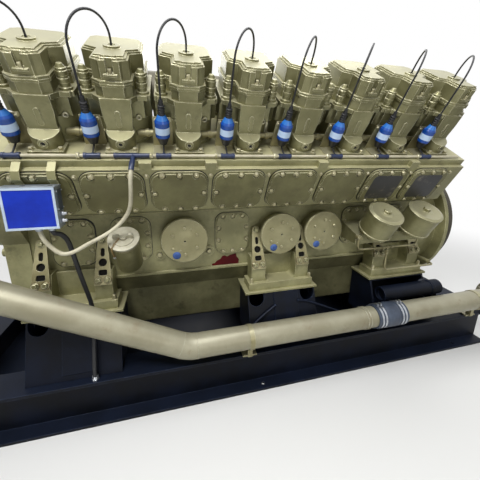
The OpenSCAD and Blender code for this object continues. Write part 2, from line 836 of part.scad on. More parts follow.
module control_box() {
    frame = 10;
    color("#3f66c8") translate([box_right_x - box_l, -box_out_y, box_z]) difference() {
        cube([box_l, box_t, box_tall]);
        translate([frame, -1, frame]) cube([box_l - 2 * frame, 3, box_tall - 2 * frame]);
    }
    color("#d8dce0") {
        translate([box_right_x - box_l - 6, -box_out_y - 2, box_z + box_tall])
            cube([box_l + 12, box_t - 4, 4]);
        for (k = [0, 1]) translate([box_right_x, -box_out_y + 38, box_z + 24 + 34 * k])
            rotate([0, 90, 0]) cylinder(d = 22, h = 16);
        for (dx = [60, 105]) translate([box_right_x - dx, -box_out_y + 30, box_z - 14])
            cylinder(d = 30, h = 15);
    }
}

// Straps behind the box pass over the edge of the camshaft cover to the deck edge.
module control_box_bracket() {
    low_z = box_z + 60;
    knee_z = box_z + box_tall + 8;
    knee_y = box_back_y + 21;
    lip = bank_point(deck_v, deck_u - 5);
    heel = bank_point(deck_v, ledge_u + 11);
    color("#a8a47c") for (x = [box_right_x - box_l + 25, box_right_x - 55]) translate([x, 0, 0])
        along_x(30) polygon([[-box_back_y, low_z], [-box_back_y, knee_z], [-knee_y, knee_z + 16],
            [-knee_y, knee_z + 50], lip, heel, [-knee_y + strap_t, knee_z + 44],
            [-knee_y + strap_t, knee_z + 19], [-box_back_y + strap_t, knee_z - 3],
            [-box_back_y + strap_t, low_z]]);
}

// A hose swept as one mesh along points chosen by hand.
function unit(v) = v / norm(v);
function sweep_ring(p, d, r, n) =
    let (side = unit(cross(d, [0.3, 1, 0.1])), up = unit(cross(side, d)))
    [for (k = [0:n - 1]) p + r * (cos(360 * k / n) * side + sin(360 * k / n) * up)];
function spline(a, b, c, d, t) = 0.5 * ((2 * b) + (c - a) * t
    + (2 * a - 5 * b + 4 * c - d) * t * t + (3 * b - a - 3 * c + d) * t * t * t);
function route(pts, steps) = let (last = len(pts) - 1) concat(
    [for (i = [0:last - 1], k = [0:steps - 1])
        spline(pts[max(i - 1, 0)], pts[i], pts[i + 1], pts[min(i + 2, last)], k / steps)],
    [pts[last]]);

module hose(points, r, n, steps) {
    path = route(points, steps);
    last = len(path) - 1;
    rings = [for (i = [0:last])
        sweep_ring(path[i], unit(path[min(i + 1, last)] - path[max(i - 1, 0)]), r, n)];
    polyhedron(points = [for (ring = rings) each ring],
        faces = concat(
            [[for (k = [0:n - 1]) k]],
            [[for (k = [n - 1:-1:0]) last * n + k]],
            [for (i = [0:last - 1], k = [0:n - 1])
                [i * n + k, (i + 1) * n + k, (i + 1) * n + (k + 1) % n, i * n + (k + 1) % n]]));
}

branch_start = [branch_x, near_y(conduit_v + 44, conduit_u), near_z(conduit_v + 44, conduit_u)];
branch_route = [branch_start, branch_start + [-1, -19, -12], [-627, -637, 1300], [-632, -643, 1262],
    [-638, -622, 1200], [-652, -588, 1130], [-692, -562, 1070], [-752, -575, 1022], [-829, -596, 988],
    [-868, -602, 966], [-906, -606, 954], [-934, -608, 960], [-966, -609, 996], [-984, -610, 1030],
    [-990, -610, 1061]];

module conduit_branch() {
    color("#bdb9a4") hose(branch_route, conduit_d / 2 + 2, 10, 4);
}

/* Oil filler */

filler_x = bay_x(2);
filler_foot = [-415, crank_z - 41];

module filler_frame() {
    translate([filler_x, filler_foot[0], filler_foot[1]]) rotate([filler_lean, 0, 0]) children();
}

module oil_filler() {
    door_face_y = wall_y + flange_t + panel_t;
    color("#6f6c48") {
        filler_frame() {
            cylinder(d = filler_d, h = filler_l - 12);
            translate([0, 0, filler_l - 12]) cylinder(d = filler_d + 8, h = 12);
            translate([0, 0, -14]) cylinder(d1 = filler_d * 0.7, d2 = filler_d, h = 15);
        }
        translate([filler_x, filler_foot[0] - 20, filler_foot[1] + 42]) rotate([-90, 0, 0])
            cylinder(d = 92, h = 20 - filler_foot[0] - door_face_y);
    }
}

module oil_filler_cap() {
    color("#c2bfae") filler_frame() translate([0, 0, filler_l]) {
        cylinder(d = filler_d + 14, h = 11);
        translate([0, 0, 10]) cylinder(d = filler_d - 34, h = 5);
        translate([0, 0, 14]) cylinder(d = 30, h = 10);
        // A butterfly handle: a flat bar with two round wings.
        translate([0, 5, 22]) rotate([90, 0, 0]) linear_extrude(10) {
            square([60, 14], center = true);
            for (s = [-1, 1]) translate([s * 30, 5]) circle(15);
        }
    }
}

/* Oil filters */

filter_bays = [bays - 1, bays];
filter_z = crank_z + filter_rise;
seat_t = 14;
neck_l = 36;

module each_filter() {
    for (n = filter_bays) translate([bay_x(n) + filter_shift, -filter_y, filter_z])
        rotate([bank_angle, 0, 0]) children();
}

module oil_filters() {
    lid_h = 9;
    color("#8f8c66") each_filter() {
        cylinder(d = filter_d + 8, h = 8);
        translate([0, 0, 7]) cylinder(d = filter_d, h = filter_l - 15);
        translate([0, 0, filter_l - lid_h]) rotate_extrude($fn = 72) polygon([
            [0, 0], [filter_d / 2 + 3, 0], [filter_d / 2 + 3, lid_h],
            [filter_d / 2 - 12, lid_h + 6], [40, lid_h + 1], [26, lid_h + 3], [0, lid_h + 3]]);
        translate([0, 0, filter_l]) cylinder(d = 40, h = 20, $fn = 6);
    }
}

filter_base_x = bay_x(filter_bays[0]) - 100;
filter_base_l = bay_pitch + 200;
base_out_y = 462;
base_low_z = crank_z - 29;
arm_front_y = arm_seat_y + (arm_top_z - base_low_z) * tan(arm_lean) + arm_t / cos(arm_lean);

module filter_base() {
    door_face_y = wall_y + flange_t + panel_t;
    color("#7c7952") {
        difference() {
            translate([filter_base_x, 0, 0]) along_x(filter_base_l)
                polygon([[-door_face_y, base_low_z], [-door_face_y, crank_z + 78],
                    [-base_out_y + 60, crank_z + 52], [-base_out_y, crank_z + 34],
                    [-base_out_y, base_low_z]]);
            // A channel up the back lets the mount's arm pass.
            translate([bay_x(bays) - bay_pitch / 2 - 40, -arm_front_y - 6, base_low_z - 1])
                cube([80, arm_front_y, crank_z + 80 - base_low_z]);
        }
        each_filter() {
            translate([0, 0, -seat_t]) cylinder(d = filter_d - 6, h = seat_t);
            translate([0, 0, -seat_t - neck_l]) cylinder(d = 100, h = neck_l + 1);
        }
    }
}

tube_y = base_out_y + 16;
tube_x = filter_base_x + 8;
tube_top_z = crank_z + 20;
tube_low_z = crank_z - 60;
tube_floor_z = 632;
tube_right_x = bay_x(bays) + 70;
tube_tee_x = bay_x(bays - 1) + 128;
tube_bend = 26;
tube_end_x = block_l / 2 + bell_t / 3;
port_y = 440;

module tube_run(l) cylinder(d = tube_d, h = l);
module tube_corner() rotate_extrude(angle = 90) translate([tube_bend, 0]) circle(d = tube_d);

module filter_pipes() {
    color("#b5b07f") translate([0, -tube_y, 0]) {
        // Upper tube: down, along and up again.
        translate([tube_x, 0, tube_low_z + tube_bend]) tube_run(tube_top_z - tube_low_z - tube_bend);
        translate([tube_x + tube_bend, 0, tube_low_z + tube_bend]) rotate([90, 180, 0]) tube_corner();
        translate([tube_x + tube_bend, 0, tube_low_z]) rotate([0, 90, 0])
            tube_run(tube_right_x - tube_x - 2 * tube_bend);
        translate([tube_right_x - tube_bend, 0, tube_low_z + tube_bend]) rotate([90, 90, 0]) tube_corner();
        translate([tube_right_x, 0, tube_low_z + tube_bend]) tube_run(54 - tube_bend);
        // Banjo heads where the tube meets the base.
        for (p = [[tube_x, tube_top_z], [tube_right_x, tube_low_z + 66]]) translate([p[0], 16, p[1]])
            rotate([90, 0, 0]) {
                cylinder(d = 30, h = 26);
                translate([0, 0, 24]) cylinder(d = 24, h = 12, $fn = 6);
            }
        for (dx = [-34, 0, 30]) translate([tube_tee_x + dx, 0, tube_low_z]) rotate([0, 90, 0])
            cylinder(d = 22, h = 14, center = true, $fn = 6);
        // Lower tube: drops from the tee and runs to the flywheel end.
        translate([tube_tee_x, 0, tube_floor_z + tube_bend])
            tube_run(tube_low_z - tube_floor_z - tube_bend);
        translate([tube_tee_x, 0, tube_low_z - 44]) cylinder(d = 22, h = 26, $fn = 6);
        translate([tube_tee_x + tube_bend, 0, tube_floor_z + tube_bend]) rotate([90, 180, 0]) tube_corner();
        translate([tube_tee_x + tube_bend, 0, tube_floor_z]) rotate([0, 90, 0])
            tube_run(tube_end_x - tube_tee_x - 2 * tube_bend);
        translate([tube_end_x - tube_bend, tube_bend, tube_floor_z]) rotate([0, 0, 270]) tube_corner();
        translate([tube_end_x, tube_bend, tube_floor_z]) rotate([-90, 0, 0])
            tube_run(tube_y - port_y - tube_bend);
    }
}

/* Manifolds */

intake_z = near_z(-deck_in_v, deck_u) - 100;
intake_d = 200;
exhaust_z = gasket_u * cos(bank_angle) + crank_z + 62;
exhaust_d = 210;
manifold_l = block_l - 120;
port_x = 62;

// Port tubes run from the middle of the valley to the inner faces of the heads.
module port(z, u, d, x) {
    target = bank_point(-head_in_v, u);
    dy = -target[0];
    dz = target[1] - z;
    l = sqrt(dy * dy + dz * dz);
    for (n = [1:bays]) translate([bay_x(n) + bank_shift + x, 0, z])
        rotate([90 - atan2(dz, dy), 0, 0]) cylinder(d = d, h = l + d / 2);
}

module manifold(z, u, d, port_d, x) {
    translate([0, 0, z]) rotate([0, 90, 0]) {
        cylinder(d = d, h = manifold_l, center = true);
        for (k = [-1, 1]) translate([0, 0, k * (manifold_l / 2 - 12)])
            cylinder(d = d + 50, h = 24, center = true);
    }
    difference() {
        both_sides() port(z, u, port_d, x);
        both_sides() near_bank() translate([-block_l, -head_v, deck_u])
            cube([2 * block_l, head_v + head_in_v + clearance, 2 * head_h + jacket_h]);
    }
    both_sides() near_bank() each_cylinder() translate([x, head_in_v + clearance, u])
        rotate([-90, 0, 0]) cylinder(d = port_d + 34, h = 14);
}

module intake_manifold() {
    valley_z = near_z(-deck_in_v, deck_u) - valley_depth;
    color("#7c7952") {
        manifold(intake_z, head_u + 34, intake_d, 70, port_x);
        for (k = [-3, -1, 1, 3]) translate([k * manifold_l / 8 - 30, -valley_half + 4, valley_z])
            cube([60, 2 * valley_half - 8, intake_z - valley_z]);
    }
}

module exhaust_manifold() {
    color("#5d5a48") manifold(exhaust_z, head_u + 60, exhaust_d, 70, -port_x);
}

/* Ends */

module gear_case() {
    top = bank_point(cover_v - 20, deck_u - 20);
    low_y = back_y - 2;
    shoulder_y = -top[0] - 90;
    near_half = [[-low_y, rail_z - rail_h - 60], [-low_y, crank_z + 60], [-shoulder_y, top[1] - 160],
        [-shoulder_y, top[1]], [-200, top[1] + 90]];
    color("#75724f") translate([-block_l / 2 - gear_case_t, 0, 0]) along_x(gear_case_t)
        polygon(concat(near_half, flip(near_half)));
}

cover_t = 40;
front_cover_d = 480;
pump_d = 290;
rise_l = (rise_x - bend_r * sin(rise_angle) - header_x) / cos(rise_angle) - turn_r;
header_z = pipe_z + bend_r * (1 - cos(rise_angle)) + (rise_l + turn_r) * sin(rise_angle);

module front_cover() {
    color("#6f6c48") translate([-block_l / 2 - gear_case_t - cover_t, 0, crank_z]) rotate([0, 90, 0]) {
        cylinder(d = front_cover_d, h = cover_t);
        for (k = [0:11]) rotate(k * 30) translate([front_cover_d / 2, 0, 0]) cylinder(d = 44, h = cover_t);
    }
}

module water_pump() {
    face_x = -block_l / 2 - gear_case_t - cover_t;
    color("#7c7952") {
        translate([header_x, 0, header_z]) rotate([0, 90, 0]) cylinder(d = pump_d, h = face_x - header_x);
        translate([header_x, 0, header_z]) rotate([90, 0, 0])
            cylinder(d = header_d, h = 2 * header_half - 40, center = true);
        translate([header_x, 0, header_z]) rotate([90, 0, 0]) {
            for (s = [-1, 1]) translate([0, 0, s * (header_half - 12)])
                cylinder(d = header_d + 20, h = 24, center = true);
        }
    }
}

bell_x = block_l / 2;

module flywheel_housing() {
    color("#75724f") {
        translate([bell_x, 0, crank_z]) rotate([0, 90, 0]) {
            cylinder(d = bell_neck_d, h = bell_t - 24, $fn = 96);
            translate([0, 0, bell_t - 26]) cylinder(d = bell_d, h = 26, $fn = 96);
        }
        translate([tube_end_x, -port_y, tube_floor_z]) rotate([-90, 0, 0])
            cylinder(d = 34, h = port_y - bell_neck_d * 0.4);
    }
}

module flywheel() {
    hub_d = 220;
    color("#55534a") translate([bell_x + bell_t, 0, crank_z]) rotate([0, 90, 0]) difference() {
        union() {
            cylinder(d = hub_d, h = 16);
            translate([0, 0, 15]) cylinder(d = flywheel_d, h = flywheel_t, $fn = 96);
        }
        for (k = [0:flywheel_holes - 1]) rotate(k * 360 / flywheel_holes)
            translate([flywheel_pcd / 2, 0, -1]) cylinder(d = 26, h = flywheel_t + 30);
        translate([0, 0, flywheel_t - 4]) cylinder(d = hub_d, h = 40);
    }
}

/* Coolant pipes */

pipe_end_x = skid_l / 2 - 20;
pipe_flange_t = 24;
stub_in = 32;

module both_mirrored() {
    children();
    mirror([0, 1, 0]) children();
}

elbow_d = pipe_d + 2;
weld_in = 3;

// Level run, bend, rising run, then a quarter turn to the pump header.
module coolant_pipe() {
    left_l = coupling_x - coupling_l / 2 + stub_in - rise_x;
    right_x = coupling_x + coupling_l / 2 - stub_in;
    last_l = pipe_y - turn_r - header_half;
    translate([rise_x - weld_in, -pipe_y, pipe_z]) rotate([0, 90, 0])
        cylinder(d = pipe_d, h = left_l + weld_in);
    translate([right_x, -pipe_y, pipe_z]) rotate([0, 90, 0]) cylinder(d = pipe_d, h = pipe_end_x - right_x);
    translate([pipe_end_x - pipe_flange_t, -pipe_y, pipe_z]) rotate([0, 90, 0]) difference() {
        cylinder(d = pipe_d + 85, h = pipe_flange_t);
        for (k = [0:7]) rotate(k * 45 + 22.5) translate([pipe_d / 2 + 27, 0, -1])
            cylinder(d = 18, h = pipe_flange_t + 2);
    }
    translate([rise_x, -pipe_y, pipe_z + bend_r]) rotate([90, 0, 0]) rotate(-90 - rise_angle)
        rotate_extrude(angle = rise_angle) translate([bend_r, 0]) circle(d = elbow_d);
    translate([rise_x - bend_r * sin(rise_angle), -pipe_y, pipe_z + bend_r * (1 - cos(rise_angle))])
        rotate([0, rise_angle - 90, 0]) {
            translate([0, 0, -weld_in]) cylinder(d = pipe_d, h = rise_l + 2 * weld_in);
            translate([0, turn_r, rise_l]) rotate([90, 0, -90])
                rotate_extrude(angle = 90) translate([turn_r, 0]) circle(d = elbow_d);
        }
    translate([header_x, -pipe_y + turn_r - weld_in, header_z]) rotate([-90, 0, 0]) {
        cylinder(d = pipe_d, h = last_l + weld_in);
        translate([0, 0, last_l + weld_in - pipe_flange_t]) cylinder(d = pipe_d + 70, h = pipe_flange_t);
    }
}

module coolant_pipes() {
    color("#c3bc92") both_mirrored() coolant_pipe();
}

// A rubber sleeve slipped over both pipe ends, fuller in the middle.
module hose_couplings() {
    r = pipe_d / 2 + clearance;
    end_r = coupling_d / 2 - bulge;
    color("#3c4656") both_mirrored() translate([coupling_x - coupling_l / 2, -pipe_y, pipe_z])
        rotate([0, 90, 0]) rotate_extrude($fn = 72) polygon([[r, 0], [end_r, 0],
            [end_r, grip_l], [coupling_d / 2, grip_l + 16], [coupling_d / 2, coupling_l - grip_l - 16],
            [end_r, coupling_l - grip_l], [end_r, coupling_l], [r, coupling_l]]);
}

bulge = 4;
band_w = 11;
grip_l = 22 + 22 + band_w;

module hose_clamps() {
    inner_d = coupling_d - 2 * bulge + 2 * clearance;
    color("#c9ccd2") both_mirrored() for (s = [-1, 1], k = [0, 1])
        translate([coupling_x + s * (coupling_l / 2 - 22 - 22 * k) - band_w / 2, -pipe_y, pipe_z])
            rotate([0, 90, 0]) difference() {
                union() {
                    cylinder(d = inner_d + 7, h = band_w, $fn = 72);
                    translate([-inner_d / 2 - 16, -8, 0]) cube([16, 16, band_w]);
                }
                translate([0, 0, -1]) cylinder(d = inner_d, h = band_w + 2, $fn = 72);
            }
}

// A band round the pipe on a short post from the rail.
module pipe_supports() {
    band = 26;
    post_h = pipe_z - pipe_d / 2 - 3 - skid_h;
    color("#b5b07f") both_mirrored() for (x = [support_x, pipe_end_x - 200]) translate([x, -pipe_y, 0]) {
        translate([-band / 2, 0, pipe_z]) rotate([0, 90, 0]) difference() {
            cylinder(d = pipe_d + 8, h = band, $fn = 72);
            translate([0, 0, -1]) cylinder(d = pipe_d + 0.6, h = band + 2, $fn = 72);
        }
        translate([-band / 2, -16, skid_h]) cube([band, 32, post_h]);
        translate([-40, -10, skid_h]) cube([80, 46, 8]);
    }
}

/* Prelube pump and control cable */

module prelube_pump() {
    color("#1c2027") {
        translate([motor_x, -motor_y, motor_z]) rotate([0, 90, 0]) {
            difference() {
                cylinder(d = motor_d, h = motor_l, $fn = 72);
                translate([0, 0, -1]) cylinder(d = motor_d - 22, h = 26);
            }
            translate([0, 0, motor_l * 0.82]) cylinder(d = motor_d + 8, h = 24, $fn = 72);
        }
        for (x = [motor_x + 70, motor_x + motor_l - 40]) difference() {
            translate([x - 18, -motor_y - 30, skid_h + (x < bay_x(bays) + pedestal_l / 2 ? pedestal_t : 0)])
                cube([36, 60, motor_z - skid_h - pedestal_t]);
            translate([x - 30, -motor_y, motor_z]) rotate([0, 90, 0]) cylinder(d = motor_d - 2, h = 60);
        }
    }
}

// A cable runs down from the control box, behind the pipe, to a gland on the rail.
cable_d = 20;
cable_route = [[-945, -610, 1061], [-943, -604, 1046], [-928, -590, 1038], [-915, -575, 1014],
    [-910, -560, 976], [-906, -535, 886], [-897, -505, 759], [-884, -482, 640], [-884, -482, 560],
    [-884, -512, 470], [-885, -545, 380], [-885, -566, 320], [-885, -568, 292]];

module control_cable() {
    color("#141518") hose(cable_route, cable_d / 2, 10, 4);
}

module cable_gland() {
    foot = cable_route[len(cable_route) - 1];
    color("#8f8b63") translate([foot[0], foot[1], skid_h]) {
        cylinder(d = cable_d + 14, h = 10, $fn = 6);
        cylinder(d = cable_d + 8, h = foot[2] - skid_h);
    }
}

skid_rail_near();
skid_rail_far();
skid_cross_members();
skid_pedestals();
mount_base_plates();
mount_brackets();
mount_arms();
crankcase();
oil_pan();
cam_covers();
crankcase_doors();
relief_valves();
cylinder_jackets();
coolant_transfer_tubes();
cylinder_heads_near();
cylinder_heads_far();
head_nuts();
pushrod_housings();
rocker_boxes_near();
rocker_boxes_far();
rocker_covers_near();
rocker_covers_far();
coil_brackets();
ignition_coils();
coil_boots();
ignition_leads();
wiring_conduits();
conduit_fittings();
control_box();
control_box_bracket();
conduit_branch();
oil_filler();
oil_filler_cap();
oil_filters();
filter_base();
filter_pipes();
intake_manifold();
exhaust_manifold();
gear_case();
front_cover();
water_pump();
flywheel_housing();
flywheel();
coolant_pipes();
hose_couplings();
hose_clamps();
pipe_supports();
prelube_pump();
control_cable();
cable_gland();
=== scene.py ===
# Stationary gas engine on its skid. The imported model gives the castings, pipes and fittings.
# This script adds the camera and lights, the finishes, and the small parts that sit on the castings.
import math

import bmesh
import bpy
from mathutils import Matrix, Vector


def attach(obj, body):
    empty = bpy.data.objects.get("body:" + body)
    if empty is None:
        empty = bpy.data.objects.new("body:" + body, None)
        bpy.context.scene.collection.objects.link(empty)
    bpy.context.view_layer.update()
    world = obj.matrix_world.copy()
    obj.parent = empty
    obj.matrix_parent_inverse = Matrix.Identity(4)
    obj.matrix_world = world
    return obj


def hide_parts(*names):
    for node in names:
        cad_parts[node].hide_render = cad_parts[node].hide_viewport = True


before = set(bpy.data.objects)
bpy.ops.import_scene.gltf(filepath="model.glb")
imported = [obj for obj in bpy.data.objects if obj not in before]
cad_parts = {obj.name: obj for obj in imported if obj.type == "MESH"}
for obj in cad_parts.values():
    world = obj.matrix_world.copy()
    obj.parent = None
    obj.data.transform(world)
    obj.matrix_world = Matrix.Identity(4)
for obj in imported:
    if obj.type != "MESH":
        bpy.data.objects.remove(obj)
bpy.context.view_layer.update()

# Camera: a wide lens close to the engine's side, a little above the crankshaft.
# It looks across the side at a slant and slightly down.
camera_data = bpy.data.cameras.new("camera")
camera_data.sensor_width = 36
camera_data.lens = 19.94
camera_data.shift_y = -0.0552
camera_data.clip_end = 60
camera = bpy.data.objects.new("camera", camera_data)
bpy.context.scene.collection.objects.link(camera)
camera_place = Vector((-0.4675, -1.778, 1.400))
camera_right = Vector((0.9698, -0.2434, 0.0126))
camera_up = Vector((0.0485, 0.2433, 0.9687))
camera_back = camera_right.cross(camera_up).normalized()
turn = Matrix((camera_right, camera_back.cross(camera_right), camera_back)).transposed().to_4x4()
camera.matrix_world = Matrix.Translation(camera_place) @ turn
bpy.context.scene.camera = camera


# Conduit branch: a pale braided hose that leaves the conduit's tee, hangs past the oil filler
# and turns up into a gland under the control box. It is fixed at both ends.
def smooth_route(points, steps):
    """A smooth curve through points, with this many steps from each to the next."""
    path = []
    last = len(points) - 1
    for i in range(last):
        a, b, c, d = (points[k] for k in (max(i - 1, 0), i, i + 1, min(i + 2, last)))
        for k in range(steps):
            t = k / steps
            path.append(0.5 * (2 * b + (c - a) * t + (2 * a - 5 * b + 4 * c - d) * t * t
                               + (3 * b - a - 3 * c + d) * t ** 3))
    path.append(points[last])
    return path


def hose_tube(name, points, diameter):
    """A round tube along points in millimetres. Gives the piece, its middle line and its length."""
    steps, softening, sides = 8, 14, 12
    path = smooth_route([Vector(p) / 1000 for p in points], steps)
    last = len(path) - 1
    for _ in range(softening):
        inner = [(path[i - 1] + path[i] * 2 + path[i + 1]) / 4 for i in range(2, last - 1)]
        path[2:last - 1] = inner
    tube = bmesh.new()
    side = Vector((1, 0.2, 0.1))
    rings = []
    for i, place in enumerate(path):
        along = (path[min(i + 1, last)] - path[max(i - 1, 0)]).normalized()
        side = (side - along * side.dot(along)).normalized()
        up = along.cross(side)
        turns = [2 * math.pi * k / sides for k in range(sides)]
        rings.append([tube.verts.new(place + (side * math.cos(a) + up * math.sin(a)) * diameter / 2)
                      for a in turns])
    for a, b in zip(rings, rings[1:]):
        for k in range(sides):
            j = (k + 1) % sides
            tube.faces.new((a[k], a[j], b[j], b[k])).smooth = True
    tube.faces.new(rings[0][::-1])
    tube.faces.new(rings[-1])
    mesh = bpy.data.meshes.new(name)
    tube.to_mesh(mesh)
    hose = bpy.data.objects.new(name, mesh)
    bpy.context.scene.collection.objects.link(hose)
    length = sum((b - a).length for a, b in zip(path, path[1:]))
    return hose, path, length


BANK_LEAN = math.radians(30)
CRANK_Z = 0.850


def bank(x, v, u):
    """A point on the near bank: v outward from the bank's middle plane, u up the cylinder axis."""
    y = -(v * math.cos(BANK_LEAN) + u * math.sin(BANK_LEAN))
    z = CRANK_Z + u * math.cos(BANK_LEAN) - v * math.sin(BANK_LEAN)
    return Vector((x, y, z))


conduit_v, conduit_u = 0.236, 0.7173
branch_x, tee_arm = -0.624, 0.044
branch_d = 0.017
branch_start = bank(branch_x, conduit_v + tee_arm, conduit_u) * 1000
branch_points = [
    branch_start, branch_start + Vector((-1, -19, -12)), (-627, -637, 1300), (-632, -643, 1262),
    (-638, -622, 1200), (-652, -588, 1130), (-692, -562, 1070), (-752, -575, 1022), (-829, -596, 988),
    (-868, -602, 966), (-906, -606, 954), (-934, -608, 960), (-966, -609, 996), (-984, -610, 1030),
    (-990, -610, 1061)]
branch, branch_path, branch_length = hose_tube("conduit_branch_hose", branch_points, branch_d)
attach(branch, "root")
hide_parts("conduit_branch")

# Control cable: a black rubber cable from the control box's second gland.
# It drops behind the coolant pipe to a gland on the skid rail.
cable_d = 0.020
cable_points = [
    (-945, -610, 1061), (-943, -604, 1046), (-928, -590, 1038), (-915, -575, 1014), (-910, -560, 976),
    (-906, -535, 886), (-897, -505, 759), (-884, -482, 640), (-884, -482, 560), (-884, -512, 470),
    (-885, -545, 380), (-885, -566, 320), (-885, -568, 292)]
cable, cable_path, cable_length = hose_tube("control_cable_hose", cable_points, cable_d)
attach(cable, "root")
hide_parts("control_cable")


# Skid: welded rails, cross members and pedestals in blue-black enamel.
# The paint is thick, with worn edges and a little dust lying on what faces up.
def linear(red, green, blue):
    """A colour of three numbers up to 255 as Blender's linear colour."""
    tones = [c / 255 for c in (red, green, blue)]
    return tuple(t / 12.92 if t <= 0.04045 else ((t + 0.055) / 1.055) ** 2.4 for t in tones) + (1,)


class Wiring:
    """Adds shader nodes to a material and joins them."""

    def __init__(self, name):
        self.material = bpy.data.materials.new(name)
        self.material.use_nodes = True
        self.nodes = self.material.node_tree.nodes
        self.links = self.material.node_tree.links
        self.shader = self.nodes["Principled BSDF"]
        self.place = self.nodes.new("ShaderNodeTexCoord").outputs["Object"]

    def add(self, kind, **values):
        node = self.nodes.new(kind)
        for key, value in values.items():
            setattr(node, key, value)
        return node

    def noise(self, scale, detail=4, rough=0.6):
        node = self.add("ShaderNodeTexNoise")
        node.inputs["Scale"].default_value = scale
        node.inputs["Detail"].default_value = detail
        node.inputs["Roughness"].default_value = rough
        self.links.new(self.place, node.inputs["Vector"])
        return node.outputs["Fac"]

    def band(self, value, low, high):
        """0 below low, 1 above high, smooth between."""
        node = self.add("ShaderNodeMapRange", interpolation_type="SMOOTHSTEP")
        node.inputs["From Min"].default_value = low
        node.inputs["From Max"].default_value = high
        self.links.new(value, node.inputs["Value"])
        return node.outputs["Result"]

    def math(self, operation, a, b):
        node = self.add("ShaderNodeMath", operation=operation, use_clamp=operation != "SUBTRACT")
        self.feed(node.inputs[0], a)
        self.feed(node.inputs[1], b)
        return node.outputs[0]

    def mix(self, amount, first, second):
        node = self.add("ShaderNodeMix", data_type="RGBA")
        self.feed(node.inputs[0], amount)
        self.feed(node.inputs[6], first)
        self.feed(node.inputs[7], second)
        return node.outputs[2]

    def feed(self, socket, value):
        if isinstance(value, bpy.types.NodeSocket):
            self.links.new(value, socket)
        else:
            socket.default_value = value

    def facing_up(self):
        """1 where the surface faces up, 0 on its sides and underneath."""
        geometry = self.add("ShaderNodeNewGeometry")
        split = self.add("ShaderNodeSeparateXYZ")
        self.links.new(geometry.outputs["Normal"], split.inputs[0])
        return self.band(split.outputs["Z"], 0.35, 0.95)

    def round_edges(self, radius, bumps, depth):
        """Softens edges by radius metres, with a fine bump on top. Gives 1 on worn edges."""
        bevel = self.add("ShaderNodeBevel", samples=4)
        bevel.inputs["Radius"].default_value = radius
        bump = self.add("ShaderNodeBump")
        bump.inputs["Strength"].default_value = 1.0
        bump.inputs["Distance"].default_value = depth
        self.links.new(bumps, bump.inputs["Height"])
        self.links.new(bevel.outputs[0], bump.inputs["Normal"])
        self.links.new(bump.outputs[0], self.shader.inputs["Normal"])
        geometry = self.add("ShaderNodeNewGeometry")
        dot = self.add("ShaderNodeVectorMath", operation="DOT_PRODUCT")
        self.links.new(bevel.outputs[0], dot.inputs[0])
        self.links.new(geometry.outputs["True Normal"], dot.inputs[1])
        return self.band(dot.outputs["Value"], 0.995, 0.93)


def paint(name, colour, shade, bright, metallic=0.3, roughness=0.42, edge=0.003, grime=0.5, dust=0.35,
          stain_tone=None, sheen=0.5):
    """Sprayed paint on metal: cloudy tone, worn bright edges, grime in patches and dust on top."""
    w = Wiring(name)
    cloud = w.noise(5.0, 5, 0.65)
    fine = w.noise(140.0, 3, 0.7)
    worn = w.round_edges(edge, fine, 0.00025)
    tone = w.mix(w.band(cloud, 0.35, 0.72), linear(*shade), linear(*colour))
    stain = w.math("MULTIPLY", w.band(w.noise(11.0, 6, 0.7), 0.55, 0.75), grime)
    dark_shade = tuple(0.35 * c for c in linear(*shade)[:3]) + (1,)
    tone = w.mix(stain, tone, linear(*stain_tone) if stain_tone else dark_shade)
    film = w.math("MULTIPLY", w.facing_up(), dust)
    tone = w.mix(film, tone, linear(*bright))
    rim = w.math("MULTIPLY", worn, w.band(w.noise(30.0, 3, 0.6), 0.3, 0.6))
    tone = w.mix(rim, tone, linear(*bright))
    w.links.new(tone, w.shader.inputs["Base Color"])
    rough = w.add("ShaderNodeMapRange")
    rough.inputs["To Min"].default_value = roughness - 0.08
    rough.inputs["To Max"].default_value = roughness + 0.14
    w.links.new(cloud, rough.inputs["Value"])
    w.links.new(rough.outputs["Result"], w.shader.inputs["Roughness"])
    w.shader.inputs["Metallic"].default_value = metallic
    w.shader.inputs["Specular IOR Level"].default_value = sheen
    return w.material


def dress(material, *names):
    """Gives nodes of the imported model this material."""
    for name in names:
        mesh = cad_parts[name].data
        mesh.materials.clear()
        mesh.materials.append(material)


skid_enamel = paint("skid_enamel", (11, 17, 31), (5, 7, 13), (40, 50, 72), metallic=0.0, roughness=0.45,
                    edge=0.004, grime=0.3, dust=0.2, sheen=0.15)
dress(skid_enamel, "skid_rail_near", "skid_rail_far", "skid_cross_members", "skid_pedestals",
      "prelube_pump")

# Pedestal bars: two bent round bars of enamelled steel at the middle pedestal.
# Each is welded to the pedestal's leaning front at one end and to the rail's top at the other.
bar_d = 0.014
bar_lines = {
    "pedestal_bar_left": [(-118, -520, 270), (-104, -518, 330), (-59, -511, 395), (31, -491, 454),
                          (90, -478, 484)],
    "pedestal_bar_right": [(230, -474, 494), (305, -478, 480), (430, -500, 430), (535, -515, 385),
                           (610, -524, 325), (628, -526, 270)]}
for name, line in bar_lines.items():
    bar, _, _ = hose_tube(name, line, bar_d)
    bar.data.materials.append(skid_enamel)
    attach(bar, "root")


# Dark trays: black sheet with a low lip under the oil pan, standing for the dark skid floor there and partly
# painted shade under the pan.
# They lie on the cross members' lower flanges, between the members' webs.
def made(name, mesh, material):
    """Turns a bmesh into a piece that rides on the engine."""
    data = bpy.data.meshes.new(name)
    mesh.to_mesh(data)
    data.materials.append(material)
    piece = bpy.data.objects.new(name, data)
    bpy.context.scene.collection.objects.link(piece)
    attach(piece, "root")
    return piece


